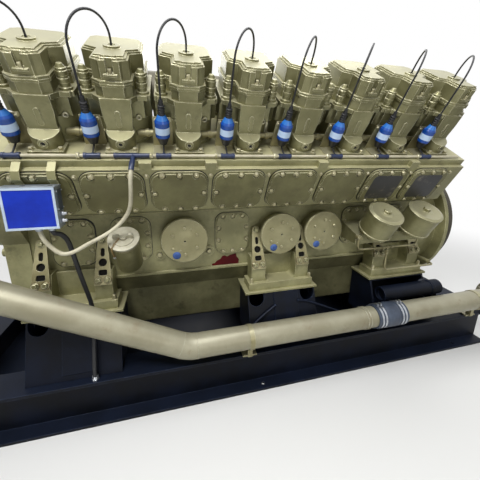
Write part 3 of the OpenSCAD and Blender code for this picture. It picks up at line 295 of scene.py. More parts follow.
def plate(mesh, outline, corner, right, up, thickness):
    """Adds a flat plate with this outline, which stands out along right x up."""
    out = right.cross(up).normalized() * thickness
    low = [mesh.verts.new(corner + right * x + up * y) for x, y in outline]
    high = [mesh.verts.new(v.co + out) for v in low]
    mesh.faces.new(low[::-1])
    mesh.faces.new(high)
    for k in range(len(low)):
        j = (k + 1) % len(low)
        mesh.faces.new((low[k], low[j], high[j], high[k]))


right_x, back_y, up_z = Vector((1, 0, 0)), Vector((0, 1, 0)), Vector((0, 0, 1))
web_x = (-1.630, -0.980, 0.140, 0.980, 1.630)
web_gap, tray_out_y, tray_z = 0.010, 0.498, 0.0321
sheet_t, lip_top = 0.003, 0.022
# These dark sheets are partly painted shade under the oil pan.
shade_trays = bmesh.new()
for a, b in zip(web_x, web_x[1:]):
    half = (b - a) / 2 - web_gap
    middle = Vector(((a + b) / 2, 0, tray_z))
    sheet = [(-half, -tray_out_y), (half, -tray_out_y), (half, tray_out_y), (-half, tray_out_y)]
    plate(shade_trays, sheet, middle, right_x, back_y, sheet_t)
    lip = [(-half, sheet_t), (half, sheet_t), (half, lip_top), (-half, lip_top)]
    for y in (sheet_t - tray_out_y, tray_out_y):
        plate(shade_trays, lip, middle + back_y * y, right_x, up_z, sheet_t)
made("skid_shade_trays", shade_trays, skid_enamel)

# Mounts: base plates and brackets in the engine's olive paint, with lighter arms.
# The arms are flat castings with three holes, and are bolted on at the top and at the foot.
engine_olive = paint("engine_olive", (142, 139, 102), (114, 111, 77), (222, 217, 184), metallic=0.5,
                     roughness=0.33, edge=0.0035, grime=0.6)
cast_olive = paint("cast_olive", (156, 153, 112), (124, 121, 84), (208, 202, 164), metallic=0.25,
                   roughness=0.42, edge=0.0035, grime=0.6)
arm_paint = paint("arm_paint", (160, 154, 118), (128, 121, 86), (210, 206, 180), metallic=0.5,
                  roughness=0.36, edge=0.002, grime=0.4)
dress(cast_olive, "mount_base_plates", "mount_brackets")
dress(arm_paint, "mount_arms")


# Mount bolts: one at the top of each arm, and two large ones with thick washers at its foot.
# Nuts on short studs stand at the corners of the brackets.
def input_value(modifier, name, value):
    """Sets a tree's input by its socket's identifier."""
    for item in modifier.node_group.interface.items_tree:
        if item.item_type == "SOCKET" and item.in_out == "INPUT" and item.name == name:
            modifier[item.identifier] = value
            return
    raise KeyError(name)


def bolt_tree():
    """Hexagon heads on washers, one at each point, turned to face along the point's facing."""
    tree = bpy.data.node_groups.new("bolt_heads", "GeometryNodeTree")
    tree.interface.new_socket("Geometry", in_out="INPUT", socket_type="NodeSocketGeometry")
    for name in ("Across", "Height", "Washer", "Washer Height", "Dome"):
        tree.interface.new_socket(name, in_out="INPUT", socket_type="NodeSocketFloat")
    for name in ("Sides", "Seed"):
        tree.interface.new_socket(name, in_out="INPUT", socket_type="NodeSocketInt")
    tree.interface.new_socket("Finish", in_out="INPUT", socket_type="NodeSocketMaterial")
    tree.interface.new_socket("Geometry", in_out="OUTPUT", socket_type="NodeSocketGeometry")
    add, link = tree.nodes.new, tree.links.new
    given = add("NodeGroupInput").outputs
    corner_share = 0.577
    shank_share = 0.8
    sixth_turn = 1.0472

    def value(operation, a, b):
        node = add("ShaderNodeMath")
        node.operation = operation
        for socket, item in zip(node.inputs, (a, b)):
            if isinstance(item, (int, float)):
                socket.default_value = item
            else:
                link(item, socket)
        return node.outputs[0]

    def lifted(geometry, height):
        offset = add("ShaderNodeCombineXYZ")
        link(height, offset.inputs["Z"])
        move = add("GeometryNodeTransform")
        link(geometry, move.inputs["Geometry"])
        link(offset.outputs[0], move.inputs["Translation"])
        return move.outputs[0]

    washer = add("GeometryNodeMeshCylinder")
    washer.inputs["Vertices"].default_value = 20
    link(value("MULTIPLY", given["Washer"], 0.5), washer.inputs["Radius"])
    link(given["Washer Height"], washer.inputs["Depth"])
    half_washer = value("MULTIPLY", given["Washer Height"], 0.5)
    shank = add("GeometryNodeMeshCylinder")
    link(given["Sides"], shank.inputs["Vertices"])
    link(value("MULTIPLY", given["Across"], corner_share), shank.inputs["Radius"])
    link(value("MULTIPLY", given["Height"], shank_share), shank.inputs["Depth"])
    shank_middle = value("ADD", given["Washer Height"], value("MULTIPLY", given["Height"], shank_share / 2))
    crown = add("GeometryNodeMeshCone")
    link(given["Sides"], crown.inputs["Vertices"])
    link(value("MULTIPLY", given["Across"], corner_share), crown.inputs["Radius Bottom"])
    crown_top = value("MULTIPLY", given["Across"], value("SUBTRACT", 0.5, given["Dome"]))
    link(crown_top, crown.inputs["Radius Top"])
    link(value("MULTIPLY", given["Height"], 1 - shank_share), crown.inputs["Depth"])
    crown_foot = value("ADD", given["Washer Height"], value("MULTIPLY", given["Height"], shank_share))
    head = add("GeometryNodeJoinGeometry")
    link(lifted(washer.outputs["Mesh"], half_washer), head.inputs[0])
    link(lifted(shank.outputs["Mesh"], shank_middle), head.inputs[0])
    link(lifted(crown.outputs["Mesh"], crown_foot), head.inputs[0])
    facing = add("GeometryNodeInputNamedAttribute")
    facing.data_type = "FLOAT_VECTOR"
    facing.inputs["Name"].default_value = "facing"
    align = add("FunctionNodeAlignRotationToVector")
    align.axis = "Z"
    link(facing.outputs["Attribute"], align.inputs["Vector"])
    spin = add("FunctionNodeRandomValue")
    spin.data_type = "FLOAT_VECTOR"
    spin.inputs["Min"].default_value = (0, 0, 0)
    spin.inputs["Max"].default_value = (0, 0, sixth_turn)
    link(given["Seed"], spin.inputs["Seed"])
    turn_local = add("FunctionNodeRotateRotation")
    turn_local.rotation_space = "LOCAL"
    to_rotation = add("FunctionNodeEulerToRotation")
    link(spin.outputs["Value"], to_rotation.inputs[0])
    link(align.outputs[0], turn_local.inputs[0])
    link(to_rotation.outputs[0], turn_local.inputs[1])
    place = add("GeometryNodeInstanceOnPoints")
    link(given["Geometry"], place.inputs["Points"])
    link(head.outputs[0], place.inputs["Instance"])
    link(turn_local.outputs[0], place.inputs["Rotation"])
    real = add("GeometryNodeRealizeInstances")
    link(place.outputs[0], real.inputs[0])
    finish = add("GeometryNodeSetMaterial")
    link(real.outputs[0], finish.inputs["Geometry"])
    link(given["Finish"], finish.inputs["Material"])
    link(finish.outputs[0], add("NodeGroupOutput").inputs[0])
    return tree


BOLT_TREE = bolt_tree()


def settle(piece):
    """Turns a piece's modifiers into plain mesh and lets it ride on the engine."""
    evaluated = piece.evaluated_get(bpy.context.evaluated_depsgraph_get())
    shape = bpy.data.meshes.new_from_object(evaluated)
    piece.modifiers.clear()
    piece.data = shape
    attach(piece, "root")


def bolts(name, places, across, finish, height=None, washer=None, sides=6, seed=1):
    """Bolt heads at places, a list of pairs of point and facing, in metres."""
    mesh = bpy.data.meshes.new(name)
    mesh.from_pydata([p for p, _ in places], [], [])
    facing = mesh.attributes.new("facing", "FLOAT_VECTOR", "POINT")
    for item, (_, direction) in zip(facing.data, places):
        item.vector = direction
    piece = bpy.data.objects.new(name, mesh)
    bpy.context.scene.collection.objects.link(piece)
    modifier = piece.modifiers.new("bolts", "NODES")
    modifier.node_group = BOLT_TREE
    sizes = {"Across": across, "Height": height or across * 0.62, "Washer": washer or across * 0.8,
             "Washer Height": across * 0.14 if washer else across * 0.02, "Dome": 0.06,
             "Sides": sides, "Seed": seed, "Finish": finish}
    for key, value in sizes.items():
        input_value(modifier, key, value)
    settle(piece)


def with_mirror(places):
    """The places, and the same mirrored to the other side of the crankshaft."""
    return places + [(Vector((p.x, -p.y, p.z)), Vector((d.x, -d.y, d.z))) for p, d in places]


BAY = 0.280


def bay(n):
    """The middle of cylinder n along the engine, from 1 at the front to 8."""
    return (n - 4.5) * BAY


# Bolt heads and small fittings take a lighter copy of the engine's olive, as painted highlight on the small
# heads.
bolt_olive_painted_highlight = paint("bolt_olive_painted_highlight", (182, 176, 140), (146, 140, 106), (224, 220, 200), metallic=0.6,
                    roughness=0.36, edge=0.001, grime=0.4)
mount_bays = (1, 5, 8)
arm_lean = math.radians(22.5)
arm_seat_y, arm_top_z, arm_t = 0.318, CRANK_Z + 0.055, 0.014
foot_drop, foot_half = 0.204, 0.022
nut_side, nut_y, nut_z = 0.186, 0.4185, 0.612
arm_out = Vector((0, -math.cos(arm_lean), math.sin(arm_lean)))
arm_down = Vector((0, -math.sin(arm_lean), -math.cos(arm_lean)))
arm_tops = [Vector((bay(n) + side * BAY / 2, -arm_seat_y, arm_top_z))
            for n in mount_bays for side in (-1, 1)]
arm_bolts = []
for top in arm_tops:
    arm_bolts.append((top + arm_out * arm_t, arm_out))
    for dx in (-foot_half, foot_half):
        arm_bolts.append((top + arm_down * foot_drop + arm_out * arm_t + Vector((dx, 0, 0)), arm_out))
arm_bolts = with_mirror(arm_bolts)
bolts("mount_arm_bolts", arm_bolts, 0.024, engine_olive, washer=0.036, seed=3)
corner_nuts = [(Vector((bay(n) + side * nut_side, -nut_y, nut_z)), up_z)
               for n in mount_bays for side in (-1, 1)]
bolts("mount_corner_nuts", with_mirror(corner_nuts), 0.018, bolt_olive_painted_highlight, height=0.026,
      washer=0.022, seed=4)


# Arm rims and hole shades: rust has crept out round the washers at the arms' feet.
# Thin near-black plates close the holes through the arms from behind, as painted shade inside the holes.
def turned(name, profile, places, material, sides=24):
    """A profile of pairs of radius and height, revolved about each place's facing."""
    mesh = bmesh.new()
    for point, facing in places:
        axis = facing.normalized()
        right = axis.orthogonal().normalized()
        up = axis.cross(right)
        rings = []
        for i, (radius, height) in enumerate(profile):
            middle = point + axis * height
            if i and (radius, height) == profile[0]:
                rings.append(rings[0])
            elif radius == 0:
                rings.append([mesh.verts.new(middle)] * sides)
            else:
                turns = [2 * math.pi * k / sides for k in range(sides)]
                rings.append([mesh.verts.new(middle + (right * math.cos(a) + up * math.sin(a)) * radius)
                              for a in turns])
        for low, high in zip(rings, rings[1:]):
            for k in range(sides):
                j = (k + 1) % sides
                corners = list(dict.fromkeys((low[k], low[j], high[j], high[k])))
                if len(corners) > 2:
                    mesh.faces.new(corners).smooth = True
    made(name, mesh, material)


def rounded(width, height, radius, steps=6):
    """The outline of a rounded rectangle, counterclockwise."""
    outline = []
    for i, (sx, sy) in enumerate(((1, 1), (-1, 1), (-1, -1), (1, -1))):
        for k in range(steps + 1):
            angle = math.pi / 2 * (i + k / steps)
            outline.append((sx * (width / 2 - radius) + radius * math.cos(angle),
                            sy * (height / 2 - radius) + radius * math.sin(angle)))
    return outline


rust_brown = paint("rust_brown", (88, 58, 34), (62, 42, 26), (104, 74, 48), metallic=0.0, roughness=0.8,
                   edge=0.0003, grime=0.2, dust=0.0, sheen=0.2)
foot_places = [(p - d * 0.0002, d) for p, d in arm_bolts if p.z < 0.8]
turned("mount_arm_rims", [(0, 0), (0.0200, 0), (0.0195, 0.0007), (0, 0.0007)], foot_places, rust_brown)
# Near-black paint for the plates behind the arm holes: painted shade inside the holes.
hole_painted_shade = paint("hole_painted_shade", (24, 22, 18), (15, 14, 11), (38, 36, 30), metallic=0.0, roughness=0.75,
                    edge=0.0005, grime=0.2, dust=0.0, sheen=0.15)
hole_shade_t = 0.001
slot_hole = rounded(0.0196, 0.0436, 0.0097)
round_hole = rounded(0.0396, 0.0396, 0.0197)
wide_hole = rounded(0.0406, 0.0286, 0.0079)
hole_drops = ((slot_hole, 0.062), (round_hole, 0.114), (wide_hole, 0.166))
hole_shade_plates = bmesh.new()
for top in arm_tops:
    for side in (1, -1):
        seat = Vector((top.x, side * top.y, top.z))
        out = Vector((0, side * arm_out.y, arm_out.z))
        down = Vector((0, side * arm_down.y, arm_down.z))
        for outline, drop in hole_drops:
            plate(hole_shade_plates, outline, seat + down * drop + out * hole_shade_t, right_x * side, -down, hole_shade_t)
made("mount_arm_hole_shades", hole_shade_plates, hole_painted_shade)


# Crankcase and oil pan: the big castings. The pan takes a darker copy of the crankcase's olive, as painted
# shade under the crankcase's flange.
# Bearing bosses carry recessed bolts, and small plugs sit between the camshaft covers.
def other_side(places):
    """The same places turned half a turn about the upright axis, for the far bank."""
    return [(Vector((-p.x, -p.y, p.z)), Vector((-d.x, -d.y, d.z))) for p, d in places]


# The pan's darker olive is painted shade under the crankcase's flange.
pan_olive_painted_shade = paint("pan_olive_painted_shade", (114, 111, 80), (86, 84, 58), (172, 168, 136), metallic=0.2,
                  roughness=0.45, edge=0.0035, grime=0.7, sheen=0.3)
dress(pan_olive_painted_shade, "oil_pan")
dress(cast_olive, "crankcase", "gear_case", "front_cover", "water_pump", "flywheel_housing",
      "intake_manifold")
out_v = Vector((0, -math.cos(BANK_LEAN), -math.sin(BANK_LEAN)))
up_u = Vector((0, -math.sin(BANK_LEAN), math.cos(BANK_LEAN)))
out_y = Vector((0, -1, 0))
cover_shift = -0.018
plugs = [(bank(bay(n) + BAY / 2 + cover_shift, 0.275, 0.640), out_v) for n in range(0, 9)]
bolts("gallery_plugs", plugs + other_side(plugs), 0.015, bolt_olive_painted_highlight, washer=0.02, seed=5)
bosses = [(Vector((bay(n) + BAY / 2, -0.305, CRANK_Z - 0.055)), out_y) for n in (2, 3, 6)]
bolts("bearing_bolts", with_mirror(bosses), 0.026, bolt_olive_painted_highlight, seed=6)

# Primer patch: a ragged spot on the crankcase's wall where the olive paint is off.
# The red primer shows there. It is as thick as a coat of paint.
patch_place = Vector((-0.175, -0.2999, 0.726))
smudge = [(-0.086, -0.034), (0.078, -0.034), (0.080, -0.006), (0.066, 0.012), (0.060, 0.034), (0.040, 0.030),
          (0.022, 0.026), (0.006, 0.018), (-0.008, 0.026), (-0.024, 0.024), (-0.036, 0.006), (-0.058, -0.004),
          (-0.070, -0.018), (-0.088, -0.022)]
red_primer = paint("red_primer", (98, 12, 16), (66, 8, 12), (112, 30, 30), metallic=0.0, roughness=0.6,
                   edge=0.0005, grime=0.4, dust=0.0, sheen=0.15)
patch = bmesh.new()
plate(patch, smudge, patch_place, right_x, up_z, 0.0006)
made("wall_primer_patch", patch, red_primer)


# Camshaft covers: cast plates with a raised panel, on black gaskets.
# Eight bolts hold each, and the two side bolts pass through small lugs.
def on_both_banks(mesh, outline, x, v, u, thickness):
    """Adds a plate on the near bank's slope, and the same turned round on the far bank's."""
    near = bank(x, v, u)
    plate(mesh, outline, near, right_x, up_u, thickness)
    plate(mesh, outline, Vector((-near.x, -near.y, near.z)), -right_x, Vector((0, -up_u.y, up_u.z)),
          thickness)


# The covers and their lugs take a darker copy of the engine's olive, as painted shade on these down-facing
# plates.
cover_olive_painted_shade = paint("cover_olive_painted_shade", (120, 117, 79), (95, 92, 60), (204, 200, 166), metallic=0.15,
                    roughness=0.4, edge=0.003, grime=0.3, sheen=0.3)
dress(cover_olive_painted_shade, "cam_covers")
cover_u = 0.5515
cover_rows = [(k * 0.074, s * 0.097) for k in (-1, 0, 1) for s in (-1, 1)] + [(-0.111, 0), (0.111, 0)]
cover_bolts = [(bank(bay(n) + cover_shift + dx, 0.285, cover_u + du), out_v)
               for n in range(1, 9) for dx, du in cover_rows]
bolts("cam_cover_bolts", cover_bolts + other_side(cover_bolts), 0.018, bolt_olive_painted_highlight,
      washer=0.026, seed=7)
# Black for the gaskets and seals, and also as painted shade in the plug sockets' hex holes.
black_gasket_and_socket_shade = paint("black_gasket_and_socket_shade", (26, 26, 24), (14, 14, 14), (40, 40, 36), metallic=0.0, roughness=0.6,
                     edge=0.0005, grime=0.0, dust=0.0)
gasket_line, lug_line = rounded(0.262, 0.234, 0.059), rounded(0.036, 0.026, 0.005)
gaskets = bmesh.new()
lugs = bmesh.new()
for n in range(1, 9):
    on_both_banks(gaskets, gasket_line, bay(n) + cover_shift, 0.2749, cover_u, 0.0022)
    for side in (-1, 1):
        on_both_banks(lugs, lug_line, bay(n) + cover_shift + side * 0.109, 0.2848, cover_u + 0.001, 0.0045)
made("cam_cover_gaskets", gaskets, black_gasket_and_socket_shade)
made("cam_cover_side_lugs", lugs, cover_olive_painted_shade)

# Cover films: the two covers at the flywheel end carry a dark smeared film.
# It is oil and dirt, dried thin on the raised panels.
smear = paint("smear", (46, 45, 44), (30, 30, 32), (96, 92, 84), metallic=0.2, roughness=0.35, edge=0.001,
              grime=0.9, dust=0.0, stain_tone=(112, 106, 92))
film_line = rounded(0.186, 0.160, 0.024)
films = bmesh.new()
for n in (7, 8):
    plate(films, film_line, bank(bay(n) + cover_shift, 0.2928, cover_u), right_x, up_u, 0.0006)
made("cam_cover_films", films, smear)

# Crankcase doors: flat cast doors with rounded corners, each on a black seal.
# Ten bolts hold each, three at the top and foot and two at each side.
valve_bays = (3, 5, 6)
door_bays = [n for n in range(1, 9) if n not in valve_bays]
door_z, door_w, door_h = CRANK_Z + 0.045, 0.203, 0.250
dress(cast_olive, "crankcase_doors")
door_rows = [(k * 0.0587, s * 0.108) for k in (-1, 0, 1) for s in (-1, 1)]
door_rows += [(s * 0.0845, z) for s in (-1, 1) for z in (-0.037, 0.037)]
door_bolts = [(Vector((bay(n) + dx, -0.310, door_z + dz)), out_y) for n in door_bays for dx, dz in door_rows]
bolts("door_bolts", door_bolts + other_side(door_bolts), 0.018, bolt_olive_painted_highlight, washer=0.026,
      seed=8)
door_seals = bmesh.new()
for side in (1, -1):
    for n in door_bays:
        grow = 0.010 if n == 1 and side == 1 else 0.005
        place = Vector((side * bay(n), -side * 0.2999, door_z))
        plate(door_seals, rounded(door_w + grow, door_h + grow, 0.056), place, right_x * side, up_z, 0.003)
made("door_seals", door_seals, black_gasket_and_socket_shade)

# Relief valves: round spring-loaded lids in lighter paint, with a shallow cone for a face.
# Six bolts and two small screws show on each, round a hollow hub, and each has a blank blue disc.
valve_paint = paint("valve_paint", (158, 153, 118), (136, 131, 96), (214, 210, 182), metallic=0.45,
                    roughness=0.38, edge=0.003, grime=0.25)
dress(valve_paint, "relief_valves")


def on_valves(angle, reach, y):
    """Points on the near valves' faces at this angle in degrees and distance from the hub."""
    x, z = reach * math.cos(math.radians(angle)), reach * math.sin(math.radians(angle))
    return [Vector((bay(n) + x, -y, door_z + z)) for n in valve_bays]


bolt_ring = 0.0737
six_angles = [90 + 60 * k for k in range(6)]
valve_bolts = [(point, out_y) for row in zip(*(on_valves(a, bolt_ring, 0.3945) for a in six_angles))
               for point in row]
bolts("valve_bolts", valve_bolts + other_side(valve_bolts), 0.015, bolt_olive_painted_highlight, seed=9)
screw_pairs = zip(on_valves(64, bolt_ring, 0.3948), on_valves(-117, 0.058, 0.3948))
small_screws = [(point, out_y) for row in screw_pairs for point in row]
bolts("valve_small_screws", small_screws + other_side(small_screws), 0.009, bolt_olive_painted_highlight,
      sides=12, seed=17)
hubs = [(point, out_y) for point in on_valves(0, 0, 0.4)]
turned("valve_hubs", [(0, -0.03), (0.0058, -0.03), (0.0058, -0.008), (0, -0.008)], hubs + other_side(hubs),
       black_gasket_and_socket_shade)
disc_blue = paint("disc_blue", (46, 82, 150), (36, 68, 132), (70, 100, 160), metallic=0.0, roughness=0.35,
                  edge=0.0005, grime=0.1, dust=0.0)
cone_slope = 0.077
disc_facing = Vector((-0.5 * cone_slope, -0.997, -0.866 * cone_slope))
discs = [(point, disc_facing) for point in on_valves(240, 0.0915, 0.3932)]
turned("valve_discs", [(0, 0), (0.0215, 0), (0.022, 0.0008), (0.0215, 0.0018), (0, 0.0018)],
       discs, disc_blue)

# Cylinders: jackets, heads, pushrod housings, rocker boxes and covers, one set for each cylinder.
# All are castings in the engine's paint. Bolts hold the housings' feet and the covers' ledges.
dress(cast_olive, "cylinder_jackets")
dress(engine_olive, "cylinder_heads_near", "cylinder_heads_far", "pushrod_housings", "rocker_boxes_near",
      "rocker_boxes_far", "rocker_covers_near", "rocker_covers_far", "head_nuts")
dress(arm_paint, "coolant_transfer_tubes")
housing_x, coolant_x = 0.030, 0.026
foot_bolts = [(bank(bay(n) + housing_x + side * 0.052, 0.2005, 0.721), up_u)
              for n in range(1, 9) for side in (-1, 1)]
bolts("housing_foot_bolts", foot_bolts + other_side(foot_bolts), 0.017, bolt_olive_painted_highlight,
      washer=0.022, seed=10)
fitting_line = [(0.006, 0), (0.013, 0), (0.013, 0.006), (0.011, 0.009), (0.006, 0.009), (0.006, 0)]
ring_fittings = [(bank(bay(n) + coolant_x + 0.079, 0.0999, 0.824), out_v) for n in range(1, 9)]
turned("head_ring_fittings", fitting_line, ring_fittings + other_side(ring_fittings), bolt_olive_painted_highlight)
ledge_bolts = [(bank(bay(n) + housing_x, 0.147, 1.004), up_u) for n in range(1, 9)]
bolts("cover_ledge_bolts", ledge_bolts + other_side(ledge_bolts), 0.014, bolt_olive_painted_highlight,
      height=0.016, washer=0.019, seed=11)
# Flat black hexes in the plug sockets are painted shade for the sockets' hexagon holes.
plug_sockets = [(bank(bay(n) + housing_x, 0.2045, 0.705 + 0.0465), out_v) for n in range(1, 9)]
bolts("tappet_socket_shades", plug_sockets + other_side(plug_sockets), 0.0135, black_gasket_and_socket_shade,
      height=0.002, seed=12)


# Ignition coils: moulded blue bodies with a light blue cone and a blank pale label.
# Each hangs on a painted bracket with two screws, under a ribbed black rubber boot.
def plain(name, colour, second, roughness, metallic=0.0):
    """A moulded or turned material with a faint cloudy tone."""
    w = Wiring(name)
    fine = w.noise(220.0, 2, 0.6)
    w.round_edges(0.0015, fine, 0.0001)
    tone = w.mix(w.band(w.noise(18.0, 4, 0.6), 0.3, 0.75), linear(*second), linear(*colour))
    w.links.new(tone, w.shader.inputs["Base Color"])
    w.shader.inputs["Roughness"].default_value = roughness
    w.shader.inputs["Metallic"].default_value = metallic
    return w.material


label_low_u, label_high_u, cone_u = 0.788, 0.818, 0.848
coil_wiring = Wiring("coil_blue")
coil_wiring.round_edges(0.002, coil_wiring.noise(220.0, 2, 0.6), 0.0001)
upright = coil_wiring.add("ShaderNodeVectorMath", operation="ABSOLUTE")
coil_wiring.links.new(coil_wiring.place, upright.inputs[0])
along = coil_wiring.add("ShaderNodeVectorMath", operation="DOT_PRODUCT")
coil_wiring.links.new(upright.outputs[0], along.inputs[0])
along.inputs[1].default_value = (0, math.sin(BANK_LEAN), math.cos(BANK_LEAN))
height_u = coil_wiring.math("SUBTRACT", along.outputs["Value"], CRANK_Z * math.cos(BANK_LEAN))
body_tone = coil_wiring.mix(coil_wiring.noise(18.0), linear(8, 56, 134), linear(16, 74, 158))
label = coil_wiring.math("MULTIPLY", coil_wiring.band(height_u, label_low_u, label_low_u + 0.001),
                         coil_wiring.band(height_u, label_high_u + 0.001, label_high_u))
body_tone = coil_wiring.mix(label, body_tone, linear(184, 206, 234))
cone_part = coil_wiring.band(height_u, cone_u, cone_u + 0.002)
body_tone = coil_wiring.mix(cone_part, body_tone, linear(38, 102, 176))
coil_wiring.links.new(body_tone, coil_wiring.shader.inputs["Base Color"])
coil_wiring.shader.inputs["Roughness"].default_value = 0.25
dress(coil_wiring.material, "ignition_coils")
# Black rubber for the boots, leads and cable, and also as painted shade in the control box lid's two holes.
black_rubber_and_hole_shade = plain("black_rubber_and_hole_shade", (22, 23, 26), (14, 15, 17), 0.55)
dress(black_rubber_and_hole_shade, "coil_boots", "ignition_leads")
coil_x = coolant_x - 0.106
rib_line = [(0.009, 0), (0.0145, 0.001), (0.0148, 0.003), (0.0132, 0.006), (0.009, 0.006), (0.009, 0)]
boot_ribs = [(bank(bay(n) + coil_x, 0.1665, 0.870 + 0.0105 * k), up_u) for n in range(1, 9) for k in range(4)]
turned("coil_boot_rings", rib_line, boot_ribs + other_side(boot_ribs), black_rubber_and_hole_shade, sides=18)
dress(arm_paint, "coil_brackets")
plate_screws = [(bank(bay(n) + coil_x + dx, 0.1338, 0.829), out_v)
                for n in range(1, 9) for dx in (-0.0285, 0.0285)]
bolts("coil_bracket_screws", plate_screws + other_side(plate_screws), 0.011, bolt_olive_painted_highlight,
      washer=0.016, seed=14)

# Conduit: a pale braided tube along each bank with dark blue plastic tees, held by painted clips.
# A plastic sleeve covers the first 50 mm of the branch hose.
braid = plain("braid", (196, 190, 166), (168, 162, 138), 0.6)
navy_plastic = plain("navy_plastic", (34, 48, 82), (22, 32, 58), 0.4)
dress(braid, "wiring_conduits")
dress(navy_plastic, "conduit_fittings")
branch.data.materials.append(braid)
cable.data.materials.append(black_rubber_and_hole_shade)
clip_places = [(bank(bay(n) + coil_x - 0.052, conduit_v, conduit_u), right_x) for n in range(1, 9)]
clip_profile = [(0.0068, -0.006), (0.0122, -0.006), (0.0122, 0.006), (0.0068, 0.006), (0.0068, -0.006)]
turned("conduit_clips", clip_profile, clip_places + other_side(clip_places), arm_paint)
sleeve_l, sleeve_d = 0.050, 0.0225
walked = 0.0
sleeve_line = [branch_path[0]]
for a, b in zip(branch_path, branch_path[1:]):
    walked += (b - a).length
    if walked < sleeve_l:
        sleeve_line.append(b)
sleeve, _, _ = hose_tube("branch_sleeve", [p * 1000 for p in sleeve_line], sleeve_d)
sleeve.data.materials.append(navy_plastic)
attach(sleeve, "root")

# Coolant pipes and oil filters: painted tube with brown scuffs, and spun bowls on a cast base.
# Dark rubber couplings join the pipes under bright steel clamps with one screw each.
bare_steel = plain("bare_steel", (205, 208, 212), (170, 174, 180), 0.28, metallic=0.9)
coupling_rubber = plain("coupling_rubber", (66, 76, 92), (50, 58, 72), 0.45)
pipe_paint = paint("pipe_paint", (154, 150, 127), (136, 131, 107), (184, 181, 164), metallic=0.25,
                   roughness=0.38, edge=0.003, grime=0.6, dust=0.25, stain_tone=(116, 96, 66))
dress(pipe_paint, "coolant_pipes")
dress(arm_paint, "pipe_supports", "filter_pipes")
dress(engine_olive, "oil_filters", "filter_base")
dress(coupling_rubber, "hose_couplings")
dress(bare_steel, "hose_clamps", "cable_gland")
bead = [(0.0624, -0.004), (0.0655, -0.0035), (0.0668, 0), (0.0655, 0.0035), (0.0624, 0.004), (0.0624, -0.004)]
beads = [(Vector((x, y, 0.388)), right_x) for x in (0.612, 0.632) for y in (-0.590, 0.590)]
turned("pipe_bead_rings", bead, beads, pipe_paint, sides=48)
coupling_x, clamp_out, clamp_pitch = 0.790, 0.083, 0.022
screws = [(Vector((coupling_x + s * (clamp_out - clamp_pitch * k), y * 0.598, 0.468)), Vector((0, y, 0)))
          for s in (-1, 1) for k in (0, 1) for y in (-1, 1)]
bolts("clamp_screws", screws, 0.008, bare_steel, seed=15)

# Oil filler: a leaning painted neck with a plain metal lid. A light brass chain holds the lid.
# The chain runs from the handle over the lid's rim to an eye on the left of the neck.
lid_metal = plain("lid_metal", (186, 182, 164), (156, 152, 132), 0.4, metallic=0.4)
dress(engine_olive, "oil_filler")
dress(lid_metal, "oil_filler_cap")
lean = math.radians(34)
lid_axis = Vector((0, -math.sin(lean), math.cos(lean)))
lid_front = Vector((0, -math.cos(lean), -math.sin(lean)))
filler_foot, lid_height, neck_radius = Vector((-0.700, -0.415, 0.809)), 0.207, 0.062
lid_middle = filler_foot + lid_axis * lid_height


def at_lid(left, front, down):
    """A point by the lid: left and front from its middle, and down along the neck."""
    return lid_middle - right_x * left + lid_front * front - lid_axis * down


chain_line = smooth_route([at_lid(0.014, 0, -0.010), at_lid(0.034, 0.03, -0.004), at_lid(0.0445, 0.0555, 0),
                           at_lid(0.0455, 0.0562, 0.022), at_lid(0.0475, 0.0435, 0.085)], 40)
wire_r, link_r, link_pitch = 0.0011, 0.0042, 0.0064
wire = [(link_r + wire_r * math.cos(a), wire_r * math.sin(a)) for a in (k * math.pi / 3 for k in range(6))]
links = []
walked = 0.0
for a, b in zip(chain_line, chain_line[1:]):
    walked += (b - a).length
    if walked >= link_pitch * (len(links) + 1):
        along_chain = (b - a).normalized()
        flat = along_chain.cross(right_x).normalized()
        links.append((b, flat if len(links) % 2 else flat.cross(along_chain)))
chain_brass = plain("chain_brass", (158, 136, 92), (118, 98, 62), 0.35, metallic=0.6)
turned("lid_chain", wire + wire[:1], links, chain_brass, sides=10)
eye_out = (lid_front * 0.0405 - right_x * 0.047).normalized()
lid_eye = [(at_lid(0, 0, 0.089) + eye_out * neck_radius, eye_out)]
bolts("chain_screw", lid_eye, 0.010, bare_steel, washer=0.015, seed=16)

# Control box: a sheet-steel case with a white front frame round a blue face that is set back.
# Two glands stand under it, and its side has a dark cover plate with screws and two connectors.
dress(cast_olive, "control_box_bracket")
box_blue = plain("box_blue", (14, 48, 172), (8, 38, 150), 0.3)
frame_white = plain("frame_white", (186, 200, 214), (168, 182, 198), 0.4)
case_silver = plain("case_silver", (172, 180, 190), (140, 148, 158), 0.35, metallic=0.6)
box_charcoal = plain("box_charcoal", (66, 74, 80), (50, 56, 62), 0.5)
box_left, box_right, box_low, box_high = -1.087, -0.907, 1.075, 1.238
box_front, box_back = -0.640, -0.575
frame_in, lid_t = 0.009, 0.004
frame_y, face_y = box_front + 0.0031, box_front + 0.0018


def box(mesh, low, high):
    """Adds an upright block between two corners."""
    wide, deep, tall = (b - a for a, b in zip(low, high))
    outline = [(0, 0), (wide, 0), (wide, tall), (0, tall)]
    plate(mesh, outline, Vector((low[0], high[1], low[2])), right_x, up_z, deep)


